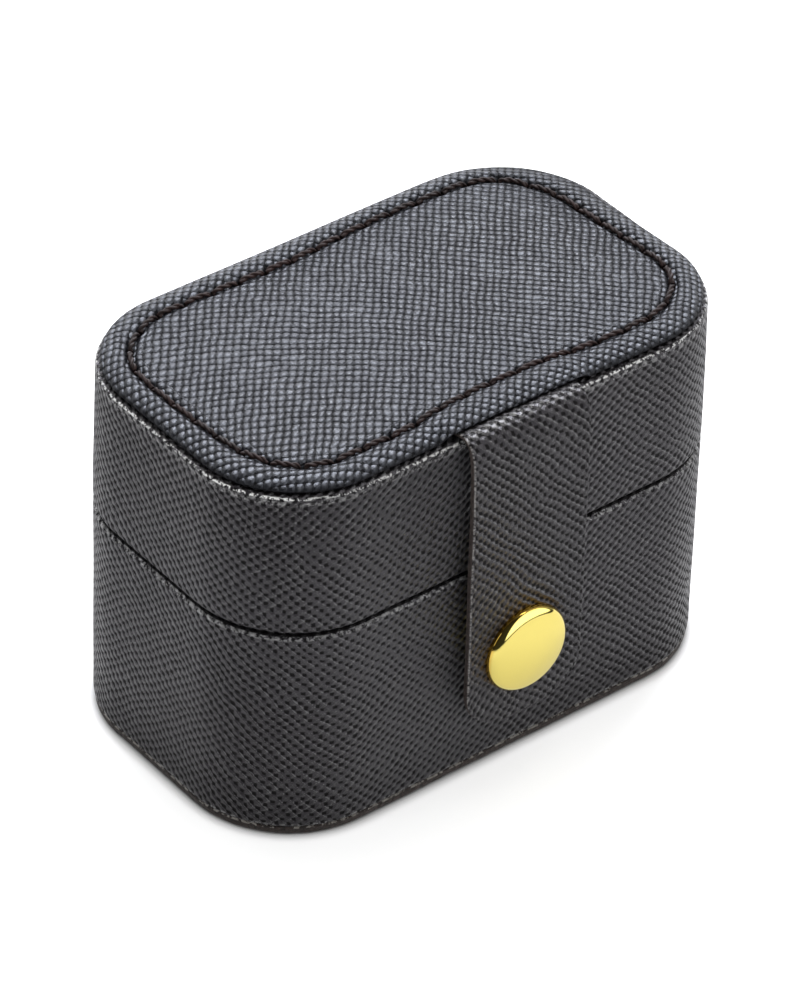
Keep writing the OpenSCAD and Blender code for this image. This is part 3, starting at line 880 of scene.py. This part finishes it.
# Radius and height above the strap's face, from the middle of the bore round to the dome's top
def capProfile():
    outer, edge, dome, bore = (capForm[k] for k in ("outer", "edgeR", "domeR", "boreR"))
    post = bore + capForm["postT"]
    rolled = post + capForm["postT"]
    end = capForm["baseY"] - capHigh[1]
    lip = end + capForm["rollT"]
    run = [(bore - 0.08, 0.0), (bore, -0.08), (bore, end + 0.1), (bore + 0.1, end),
           (rolled - 0.06, end), (rolled, end + 0.06), (rolled - 0.02, lip), (post, lip + 0.03),
           (post, -0.03), (post + 0.05, 0.0), (outer - 0.7, 0.0)]
    centreX = outer - edge
    tangent = math.degrees(math.asin(centreX / (dome - edge)))
    run += arcPoints(centreX, capForm["edgeZ"], edge, -3, 90 - tangent, 24)
    top = capForm["edgeZ"] + dome - math.sqrt((dome - edge) ** 2 - centreX ** 2)
    run += arcPoints(0, top - dome, dome, 90 - tangent, 89.5, 40)[1:]
    return run


cap = turned("snapCap", capProfile(), capForm["sides"], (capX, capForm["baseY"], capZ))
dress(cap, "gold", "strap", ["snap_cap"])
print("snap cap made")


# Panel: leather drawn over a thin pad, with a sewn furrow, resting on the strap's tab in front
panelForm = {
    "inset": box["halfW"] - panelHigh[0] - 0.3,
    "step": 0.5,
    "under": 0.03,
    "softness": 0.09,
    "crown": 0.22,
    "roll": 0.14,
    "edgeReach": 2.5,
    "furrow": 0.476,
    "furrowW": 0.62,
    "hole": 0.6,
    "holeW": 0.4,
    "holeL": 0.55,
    "topDown": 0.06,
    "tabRise": 0.42,
    "tabRoom": 0.62,
    "sunk": 0.52,
    "drawnIn": 0.6,
    "fillSteps": 12,
}
stitchInset = box["halfW"] - panelForm["inset"] + boxOf("panel_stitching")[0][0] + 0.25
stitchCount = 46
# How far the stitch line strays outwards: places along each side, and the stray there
strayForm = {
    "back": ([-26, -19, -4, 8.5, 21, 26], [0.1, 0.25, -0.4, 0.75, 0.5, 0.2]),
    "front": ([-26, -21.5, -14, -4, 6, 16, 22.5], [0.0, 0.0, 0.25, -1.1, -1.0, 0.1, -0.2]),
    "right": ([-12, -7, 0, 10], [0.2, 0.25, 0.0, -0.7]),
    "left": ([-12, -10, -5, 3.5, 9.5], [-0.4, -0.45, 0.25, 0.7, 0.5]),
    "share": 0.85,
}


def stitchStray(x, y, ny):
    if abs(ny) > 0.7:
        side, along = "back" if y > 0 else "front", x
    else:
        side, along = "right" if x > 0 else "left", y
    return float(np.interp(along, *strayForm[side])) * strayForm["share"]


# A closed row of values smoothed over its neighbours
def smoothRound(values, reach):
    out = np.zeros(len(values))
    weights = 0.0
    for k in range(-reach, reach + 1):
        w = math.exp(-(k / (reach * 0.5)) ** 2)
        out += np.roll(values, k) * w
        weights += w
    return out / weights


# How much the panel has sunk: it has only at its back right corner
def settled(x, y):
    return bump((x - 18) / 12) * bump((y + 14) / 22)


# The panel's outline, and how far its stitch line strays at each place
def panelOutline():
    loop, _ = wallLoop(panelForm["step"])
    loop[:, :2] -= loop[:, 2:4] * panelForm["inset"]
    stray = smoothRound(np.array([stitchStray(row[0], row[1], row[3]) for row in loop]), 14)
    inwards = np.array([settled(row[0], row[1]) for row in loop]) * panelForm["drawnIn"]
    loop[:, :2] -= loop[:, 2:4] * inwards[:, None]
    return loop, stray + inwards


panelLoop, panelStray = panelOutline()
seamRow = panelLoop[:, :2] - panelLoop[:, 2:4] * (stitchInset - panelStray)[:, None]
seamClosed = np.vstack([seamRow, seamRow[:1]])
seamLength = np.append(0, np.cumsum(np.linalg.norm(np.diff(seamClosed, axis=0), axis=1)))
stitchPitch = seamLength[-1] / stitchCount


# How far the strap's tab lifts the panel in front, less what it sank behind
def rise(x, y):
    onTab = bump((12.5 - abs(x)) / 4.2) * bump((-14.5 - y) / 3.2)
    return panelForm["tabRise"] * onTab - panelForm["sunk"] * settled(x, y)


# Height of the leather d mm in from the panel's edge. away is the distance from the stitch line,
# hole how near a stitch hole is.
def panelHeight(x, y, d, away, hole):
    furrow = panelForm["furrow"] * math.exp(-(away / panelForm["furrowW"]) ** 2)
    hole *= panelForm["hole"] * math.exp(-(away / panelForm["holeW"]) ** 2)
    roll = panelForm["roll"] * math.exp(-((d - 2.1) / 1.0) ** 2)
    crown = panelForm["crown"] * bump((d - stitchInset) / 9)
    soft = panelForm["softness"] * uneven(x * 0.09, y * 0.09, 3.0) * bump(d / 4)
    return panelTop - panelForm["topDown"] + roll + crown + soft - furrow - hole + rise(x, y)


def makePanel():
    floor = lidTop + panelForm["under"]
    reach = panelForm["edgeReach"]
    insets = [reach * (1 - math.cos(math.radians(90 * i / 14))) for i in range(15)]
    insets += [reach + 0.15 * i for i in range(1, 19)]
    insets += [5.1, 5.5, 6.0, 6.6, 7.3, 8.1, 9.0]
    rows = len(panelLoop)
    points, uvs = [], []
    for (x0, y0, nx, ny, _), stray, walked in zip(panelLoop, panelStray, seamLength):
        over = bump((11.2 - abs(x0)) / 1.6) if y0 < -18 else 0.0
        low = floor + panelForm["tabRoom"] * over
        phase = (walked / stitchPitch) % 1.0
        hole = math.exp(-(min(phase, 1 - phase) * stitchPitch / panelForm["holeL"]) ** 2)
        # each column: the underside, then the edge and the upper face
        column = [(9.0, low), (4.0, low), (1.5, low), (1.0, low + 0.01), (0.6, low + 0.05),
                  (0.3, low + 0.13), (0.1, low + 0.25)]
        flat = len(column) + 14
        for d in insets:
            shift = stray * math.exp(-((d - stitchInset) / 2.4) ** 2)
            pull = max(0.0, d - shift)
            z = panelHeight(x0 - nx * pull, y0 - ny * pull, pull, pull - stitchInset + stray, hole)
            if d < reach:
                z = low + 0.4 + (z - low - 0.4) * quarter(d / reach)
            column.append((pull, z))
        # the grain keeps its scale where the leather turns down over the edge
        along = [d for d, z in column]
        for j in range(flat - 1, -1, -1):
            along[j] = along[j + 1] - math.dist(column[j], column[j + 1])
        points += [(x0 - nx * d, y0 - ny * d, z) for d, z in column]
        uvs += [(x0 - nx * a, y0 - ny * a) for a in along]
    count = len(points) // rows
    faces, corners = gridFaces(rows, count, True, False)
    coords = [uvs[(i % rows) * count + j] for face in corners for i, j in face]
    middleHalf = box["halfW"] - box["halfD"]

    # the middle field: rings drawn from the last inset in to the middle line, where they meet
    def fill(first, heightAt, upward):
        previous = [i * count + first for i in range(rows)]
        base = [points[v] for v in previous]
        for k in range(1, panelForm["fillSteps"] + 1):
            t = k / panelForm["fillSteps"]
            current = []
            for a, (bx, by, bz) in enumerate(base):
                mirror = (rows // 2 - a) % rows
                if t == 1 and mirror < a:
                    current.append(current[mirror])
                    continue
                mx = middleHalf * panelLoop[a][0] / panelHigh[0]
                x, y = bx + (mx - bx) * t, by * (1 - t)
                points.append((x, y, heightAt(x, y, bz, t)))
                uvs.append((x, y))
                current.append(len(points) - 1)
            for a in range(rows):
                b = (a + 1) % rows
                face = (previous[a], previous[b], current[b], current[a])
                faces.append(face if upward else face[::-1])
                coords.extend(uvs[v] for v in faces[-1])
            previous = current

    def topHeight(x, y, _, t):
        crown = panelForm["crown"] * bump((9 + t * 11 - stitchInset) / 9)
        soft = panelForm["softness"] * uneven(x * 0.09, y * 0.09, 3.0)
        return panelTop - panelForm["topDown"] + crown + soft + rise(x, y)

    fill(count - 1, topHeight, True)
    fill(0, lambda x, y, bz, t: bz + (floor - bz) * t, False)
    return makeMesh("panelCover", points, faces, coords, sharp=60)


panel = makePanel()
dress(panel, "panel", "lid", ["panel_cover", "panel_pad"])
print("panel made")


# Stitches: two plies twisted round each other, sinking into the leather at both ends
threadForm = {
    "plyR": 0.22,
    "apart": 0.16,
    "flatter": 0.75,
    "twist": 1.15,
    "sides": 8,
    "rings": 26,
    "lift": 0.22,
    "sink": 0.42,
    "gap": 0.35,
    "uneven": 0.1,
    "skew": 0.06,
}


def makeStitches():
    rng = random.Random(5)
    points, faces = [], []
    total = seamLength[-1]

    def seamSpot(s):
        return np.array([np.interp(s % total, seamLength, seamClosed[:, i]) for i in (0, 1)])

    plyR, apart, ring = threadForm["plyR"], threadForm["apart"], threadForm["sides"]
    for n in range(stitchCount):
        middle = (n + 0.5) * stitchPitch
        length = stitchPitch - threadForm["gap"] + rng.uniform(-threadForm["uneven"], threadForm["uneven"])
        skew = rng.uniform(-threadForm["skew"], threadForm["skew"])
        turn = rng.uniform(0, 6.28)
        for ply in (0, 1):
            first = len(points)
            for k in range(threadForm["rings"]):
                u = k / (threadForm["rings"] - 1) * 2 - 1
                s = middle + u * length / 2
                p = seamSpot(s)
                t = seamSpot(s + 0.2) - p
                side = np.array([-t[1], t[0]]) / max(1e-9, np.linalg.norm(t))
                floor = panelTop - panelForm["topDown"] - panelForm["furrow"] + rise(*p)
                a = turn + ply * math.pi + u * length / 2 * math.pi / threadForm["twist"]
                cx, cy = p + side * (math.cos(a) * apart + skew * u)
                cz = floor + plyR + threadForm["lift"] - abs(u) ** 5 * threadForm["sink"] \
                    + math.sin(a) * apart * threadForm["flatter"]
                for m in range(ring):
                    b = 2 * math.pi * m / ring
                    points.append((cx + side[0] * math.cos(b) * plyR, cy + side[1] * math.cos(b) * plyR,
                                   cz + math.sin(b) * plyR))
            quads, _ = gridFaces(threadForm["rings"], ring, False, True, first)
            faces.extend(quads)
            faces.append(tuple(range(first, first + ring))[::-1])
            last = first + (threadForm["rings"] - 1) * ring
            faces.append(tuple(range(last, last + ring)))
    return makeMesh("panelStitches", points, faces, sharp=70)


stitches = makeStitches()
dress(stitches, "thread", "lid", ["panel_stitching"])
print("stitches made")


# Velvet linings: a collar glued inside each half, its top edge turned over a card
collarForm = {"step": 0.9, "edgeR": 0.35, "upStep": 1.6, "softness": 0.12, "clear": 3.2}


def liningProfile(outer, low, high):
    inner, edgeR, step = outer + box["liningT"], collarForm["edgeR"], collarForm["upStep"]
    run = [(-outer, low)] + evenly((-outer, low), (-outer, high - edgeR), step)
    run += arcPoints(-outer - edgeR, high - edgeR, edgeR, 0, 90, 4)
    run += arcPoints(-inner + edgeR, high - edgeR, edgeR, 90, 180, 4)
    run += evenly((-inner, high - edgeR), (-inner, low), step) + [(-inner, low)]
    return [(x, z, i * 0.5) for i, (x, z) in enumerate(run)]


# The collar's inner face sinks in a little here and there
def softCollar(seed):
    def wobble(points, loop):
        for row, column in zip(loop, points):
            for p in column:
                if abs(p[0]) < box["halfW"] - collarForm["clear"] \
                        and abs(p[1]) < box["halfD"] - collarForm["clear"]:
                    soft = uneven(p[0] * 0.11 + seed, p[1] * 0.11, p[2] * 0.11)
                    p[:2] += row[2:4] * min(0.0, soft * collarForm["softness"])
    return wobble


for name, inset, low, high, seed, body in (
        ("baseLining", box["baseInner"], liningLow, liningHigh, 3.0, "base"),
        ("lidLining", box["lidInner"], lidLiningLow, lidLiningHigh, 8.0, "lid")):
    lining = sweptWall(name, liningProfile(inset, low[2], high[2]), collarForm["step"],
                       softCollar(seed))
    dress(lining, "velvet", body, [body + "_lining"])
print("linings made")


# Padded velvet is blown up by a cloth simulation: the piece is copied at twenty times its size,
# remeshed, filled with pressure, and held to a set growth. Then it takes the place of the first mesh.
puffForm = {"scale": 20.0, "voxel": 0.62, "pressure": 4.0, "quality": 5, "frames": 20}


def puffed(piece, growth, lowZ, highZ, pinnedAt=None):
    scene = bpy.context.scene
    scale = puffForm["scale"]
    grown = piece.data.copy()
    grown.transform(Matrix.Scale(scale, 4))
    work = addObject("work", grown)
    remesh = work.modifiers.new("remesh", "REMESH")
    remesh.mode = "VOXEL"
    remesh.voxel_size = puffForm["voxel"] * mm * scale
    bpy.context.view_layer.update()
    even = bpy.data.meshes.new_from_object(work.evaluated_get(bpy.context.evaluated_depsgraph_get()))
    work.modifiers.clear()
    work.data = even
    start = np.array([v.co[:] for v in even.vertices])
    cloth = work.modifiers.new("cloth", "CLOTH")
    cloth.settings.use_pressure = True
    cloth.settings.uniform_pressure_force = puffForm["pressure"]
    cloth.settings.effector_weights.gravity = 0
    cloth.settings.quality = puffForm["quality"]
    cloth.point_cache.frame_start = 1
    cloth.point_cache.frame_end = puffForm["frames"]
    if pinnedAt is not None:
        group = work.vertex_groups.new(name="glued")
        group.add([i for i, p in enumerate(start) if p[2] > pinnedAt * mm * scale], 1.0, "REPLACE")
        cloth.settings.vertex_group_mass = "glued"
    for step in range(1, puffForm["frames"] + 1):
        scene.frame_set(step)
    blown = work.evaluated_get(bpy.context.evaluated_depsgraph_get()).to_mesh()
    end = np.array([v.co[:] for v in blown.vertices])
    move = end - start
    length = np.linalg.norm(move, axis=1)
    most = growth * mm * scale
    # movement runs out softly at the cap
    held = most * (1 - np.exp(-length / most))
    place = (start + move * (held / np.maximum(length, 1e-9))[:, None]) / scale
    place[:, 2] = np.clip(place[:, 2], lowZ * mm, highZ * mm)
    even.vertices.foreach_set("co", place.ravel())
    even.polygons.foreach_set("use_smooth", [True] * len(even.polygons))
    even.update()
    print(piece.name, "puffed, mm:", round(float(length.max()) / scale / mm, 2), len(even.vertices))
    bpy.data.objects.remove(work)
    scene.frame_set(1)
    for material in piece.data.materials:
        even.materials.append(material)
    piece.data = even
    smooth = piece.modifiers.new("smooth", "SUBSURF")
    smooth.levels = smooth.render_levels = 1


# Ring rolls: foam bars in velvet that hold a ring between two of them
rollForm = {
    "gap": 0.3,
    "crown": 0.105,
    "endR": 3.4,
    "endLow": 1.8,
    "endShare": 0.55,
    "topR": 5.8,
    "sections": 64,
    "around": 40,
    "growth": 0.5,
    "growthRoom": 0.7,
}


def makeRoll(name, velvetNode, foamNode):
    low, high = boxOf(velvetNode)
    growth = rollForm["growth"]
    room = growth * rollForm["growthRoom"]
    low[1] += room
    high -= room
    roomR = box["cornerR"] - box["baseInner"] - box["liningT"] - rollForm["gap"]
    halfLength, sections, n = high[0], rollForm["sections"], rollForm["around"]
    points = []
    for i in range(sections + 1):
        # sections lie closer together towards the ends
        x = halfLength * (math.sin(math.radians(-90 + 180 * i / sections)) + 2 * i / sections - 1) / 2
        beyond = max(0.0, abs(x) - runX)
        limit = runY + math.sqrt(max(0.0, roomR ** 2 - beyond ** 2)) - growth
        y0, y1 = max(low[1], -limit), min(high[1], limit)
        end = quarter(min(1.0, (halfLength - abs(x)) / rollForm["endR"]))
        half = (y1 - y0) / 2 * (rollForm["endShare"] + (1 - rollForm["endShare"]) * end)
        mid = (y0 + y1) / 2
        top = high[2] - rollForm["endLow"] * (1 - end) + rollForm["crown"] * (1 - (x / halfLength) ** 2)
        r = min(half, rollForm["topR"])
        for k in range(n):
            c, s = math.cos(2 * math.pi * k / n), math.sin(2 * math.pi * k / n)
            if s >= 0:
                y, z = mid + half * c, top - r + r * s
            else:
                # squarer below, where it stands on its board
                y = mid + half * math.copysign(abs(c) ** 0.25, c)
                z = max(low[2], top - r - (top - r - low[2]) * min(1.0, abs(s) ** 0.6 * 1.02))
            points.append((x, y, z))
    faces, _ = gridFaces(sections + 1, n, False, True)
    faces.append(tuple(range(n))[::-1])
    faces.append(tuple(range(sections * n, (sections + 1) * n)))
    roll = makeMesh(name, points, [f[::-1] for f in faces], sharp=60)
    dress(roll, "velvet", "base", [velvetNode, foamNode])
    puffed(roll, growth, low[2], high[2] + room)


for place in ("front", "middle", "back"):
    makeRoll(place + "Roll", place + "_roll_velvet", place + "_roll_foam")
print("ring rolls made")


# Ceiling pad of the lid
padForm = {"growth": 0.6, "edge": 0.3, "step": 1.0, "puff": 0.12, "ridgeHalf": 13.0}


def makeCeilingPad():
    padLow, padHigh = boxOf("ceiling_pad")
    inset = box["halfW"] - padHigh[0] + padForm["edge"]
    loop, _ = wallLoop(padForm["step"])
    rows = len(loop)
    low, high = padLow[2] + 0.15, padHigh[2]
    # inwards and height, from the glued face round the edge to the face that shows
    columns = [(3.0, high), (0.6, high), (0.15, high - 0.12), (0.0, high - 0.5), (0.05, low + 0.65),
               (0.3, low + 0.35), (0.9, low + 0.12), (1.8, low + 0.03), (3.0, low), (4.5, low)]
    count = len(columns)
    points = [(x0 - nx * (inset + d), y0 - ny * (inset + d), z)
              for x0, y0, nx, ny, _ in loop for d, z in columns]
    faces, _ = gridFaces(rows, count, True, False)
    for first, glued in ((count - 1, False), (0, True)):
        previous = [i * count + first for i in range(rows)]
        base = [points[v] for v in previous]
        for k in range(1, 9):
            t = k / 8.5
            current = []
            for bx, by, bz in base:
                mx = max(-padForm["ridgeHalf"], min(padForm["ridgeHalf"], bx * 0.8))
                puff = 0.0 if glued else -padForm["puff"] * math.sin(math.pi * t)
                points.append((bx + (mx - bx) * t, by * (1 - t), bz + puff))
                current.append(len(points) - 1)
            for a in range(rows):
                b = (a + 1) % rows
                face = (previous[a], current[a], current[b], previous[b])
                faces.append(face[::-1] if glued else face)
            previous = current
        faces.append(tuple(previous) if glued else tuple(previous[::-1]))
    pad = makeMesh("ceilingPad", points, faces, sharp=60)
    dress(pad, "velvet", "lid", ["ceiling_pad"])
    puffed(pad, padForm["growth"], padLow[2] - 0.5, padHigh[2], padHigh[2] - 0.35)


makeCeilingPad()


# Sole: a thin board under the wrap's turned edge, its cut edge rough
soleForm = {"step": 0.8, "middle": 14.0, "waves": 0.05, "roughness": 0.06}


def makeSole():
    low, high = boxOf("sole")
    inset = box["halfW"] - high[0]
    loop, _ = wallLoop(soleForm["step"])
    # inwards and height, from under the middle round the edge and back
    columns = [(soleForm["middle"], low[2]), (6.0, low[2]), (0.5, low[2]), (0.2, low[2] + 0.06),
               (0.03, low[2] + 0.25), (0.0, low[2] + 0.5), (0.0, high[2] - 0.2),
               (0.1, high[2] - 0.05), (0.4, high[2]), (soleForm["middle"], high[2])]
    points = []
    for x0, y0, nx, ny, _ in loop:
        for d, z in columns:
            inwards = inset + d + soleForm["waves"] * uneven(x0 * 0.2, y0 * 0.2, z) \
                + soleForm["roughness"] * uneven(x0, y0, z * 3)
            points.append((x0 - nx * inwards, y0 - ny * inwards, z))
    rows, count = len(loop), len(columns)
    faces, _ = gridFaces(rows, count, True, False)
    faces.append(tuple(i * count for i in range(rows)))
    faces.append(tuple(i * count + count - 1 for i in range(rows))[::-1])
    dress(makeMesh("soleBoard", points, faces), "sole", "base", ["sole"])


makeSole()
print("pad and sole made")


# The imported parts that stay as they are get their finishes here
carried = {
    "base_shell": "shell", "lid_shell": "shell", "insert_board": "card", "ceiling_card": "card",
    "snap_stud": "gold", "stud_rivet": "gold", "snap_socket": "gold", "snap_spring": "steel",
}
for node, finish in carried.items():
    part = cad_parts[node]
    part.data.materials.clear()
    part.data.materials.append(finishes[finish])


# Camera: where the photograph was taken from, in degrees and mm
cameraForm = {
    "turn": -39.358311,
    "tilt": 37.884542,
    "roll": 1.976320,
    "away": 698.050656,
    "sideways": 0.17365464,
    "upwards": 18.4003344,
    "lift": 0.6,
    "lens": 206.38152,
    "sensor": 36,
}


def setCamera():
    a, e, r = (math.radians(cameraForm[k]) for k in ("turn", "tilt", "roll"))
    back = Vector((math.sin(a) * math.cos(e), -math.cos(a) * math.cos(e), math.sin(e)))
    level = Vector((math.cos(a), math.sin(a), 0))
    upright = back.cross(level)
    right = level * math.cos(r) + upright * math.sin(r)
    up = upright * math.cos(r) - level * math.sin(r)
    spot = back * cameraForm["away"] + level * cameraForm["sideways"] \
        + upright * cameraForm["upwards"] + Vector((0, 0, cameraForm["lift"]))
    data = bpy.data.cameras.new("camera")
    data.lens = cameraForm["lens"]
    data.sensor_width = cameraForm["sensor"]
    data.clip_start = 0.02
    camera = addObject("camera", data)
    camera.matrix_world = Matrix.Translation(spot * mm) @ Matrix((right, up, back)).transposed().to_4x4()
    bpy.context.scene.camera = camera


setCamera()

# Lights: each a soft panel, given by where it stands and how strong it is. The front one isn't
# mirrored, because the room's own window is mirrored there.
warm, cool = (1.0, 0.99, 0.97), (0.9, 0.92, 1.0)
lights = {
    "backPanel": {"spot": (0.62, 0.80, 0.72), "size": (1.1, 0.8), "power": 22.0, "colour": cool},
    "topPanel": {"spot": (0.2, 0.3, 1.15), "size": (0.8, 0.6), "power": 6.0, "colour": warm},
    "frontPanel": {"spot": (0.62, -1.05, 0.45), "size": (1.6, 0.75), "power": 2.5, "colour": warm},
    "leftPanel": {"spot": (-0.95, 0.2, 0.5), "size": (0.5, 0.6), "power": 1.2,
                  "colour": (0.95, 0.98, 1.0)},
}
for name, light in lights.items():
    data = bpy.data.lights.new(name, "AREA")
    data.shape = "RECTANGLE"
    data.size, data.size_y = light["size"]
    data.energy = light["power"]
    data.color = light["colour"]
    lamp = addObject(name, data)
    lamp.visible_glossy = name != "frontPanel"
    spot = Vector(light["spot"])
    aim = (spot - Vector((0, 0, 0.025))).to_track_quat("Z", "Y").to_matrix().to_4x4()
    lamp.matrix_world = Matrix.Translation(spot) @ aim

# The room: what is seen is white, what is mirrored is bright behind and dim in front, and the rest
# is an even fill. The floor darkens close under the box.
studio = {
    "fill": 0.42,
    "mirrorBright": 1.5,
    "mirrorDim": 0.04,
    "mirrorFront": 2.6,
    "brightSide": (0.4, 0.82, 0.4),
    "window": (0.45, -0.82, 0.34),
    "floorTone": 0.88,
    "floorShade": 0.55,
    "floorGlow": 0.65,
    "floorMirror": 0.62,
    "floorMirrored": 0.6,
    "floorReach": 4.0,
    "shadowReach": 0.0024,
}


def setWorld():
    world = bpy.data.worlds.new("studio")
    room = Tree(world)
    towards = room.add("ShaderNodeTexCoord", {}, {}, 0)
    facing = room.vector("DOT_PRODUCT", towards, studio["brightSide"], output=1)
    mirrored = room.ramp(facing, 0.25, 0.9, studio["mirrorDim"], studio["mirrorBright"])
    ahead = room.vector("DOT_PRODUCT", towards, studio["window"], output=1)
    window = room.ramp(ahead, 0.6, 0.68) * room.ramp(room.part(towards, 2), 0.08, 0.16)
    mirrored = mirrored.sum("MAXIMUM", window * studio["mirrorFront"])
    glossy = room.add("ShaderNodeLightPath", {}, {}, "Is Glossy Ray")
    seen = room.add("ShaderNodeLightPath", {}, {}, "Is Camera Ray") \
        + room.add("ShaderNodeLightPath", {}, {}, "Is Transmission Ray")
    level = glossy * mirrored + (1 - glossy) * studio["fill"]
    level = seen.sum("MINIMUM", 1.0) * (1 - level) + level
    glow = room.add("ShaderNodeBackground", {}, {"Strength": level})
    room.add("ShaderNodeOutputWorld", {}, {"Surface": glow}, None)
    bpy.context.scene.world = world


setWorld()


def setFloor():
    mesh = bpy.data.meshes.new("floor")
    far = studio["floorReach"]
    mesh.from_pydata([(-far, -far, 0), (far, -far, 0), (far, far, 0), (-far, far, 0)], [], [(0, 1, 2, 3)])
    floor = addObject("floor", mesh)
    material = bpy.data.materials.new("floor")
    f = Tree(material)
    shadow = f.add("ShaderNodeAmbientOcclusion", {"samples": 16}, {"Distance": studio["shadowReach"]}, 1)
    clear = f.ramp(shadow, 0.3, 0.88)
    seen = f.add("ShaderNodeLightPath", {}, {}, "Is Camera Ray")
    glossy = f.add("ShaderNodeLightPath", {}, {}, "Is Glossy Ray")
    bare = f.mix(clear, (studio["floorShade"],) * 3, (studio["floorTone"],) * 3)
    colour = f.mix(glossy * studio["floorMirrored"], bare, (0.0, 0.0, 0.0))
    glow = seen * clear * studio["floorGlow"] + glossy * studio["floorMirror"]
    diffuse = f.add("ShaderNodeBsdfDiffuse", {}, {"Color": colour})
    emission = f.add("ShaderNodeEmission", {}, {"Strength": glow})
    both = f.add("ShaderNodeAddShader", {}, {0: diffuse, 1: emission})
    f.add("ShaderNodeOutputMaterial", {}, {"Surface": both}, None)
    floor.data.materials.append(material)


setFloor()
bpy.context.scene.view_settings.view_transform = "Standard"


print("camera, lights and floor set")
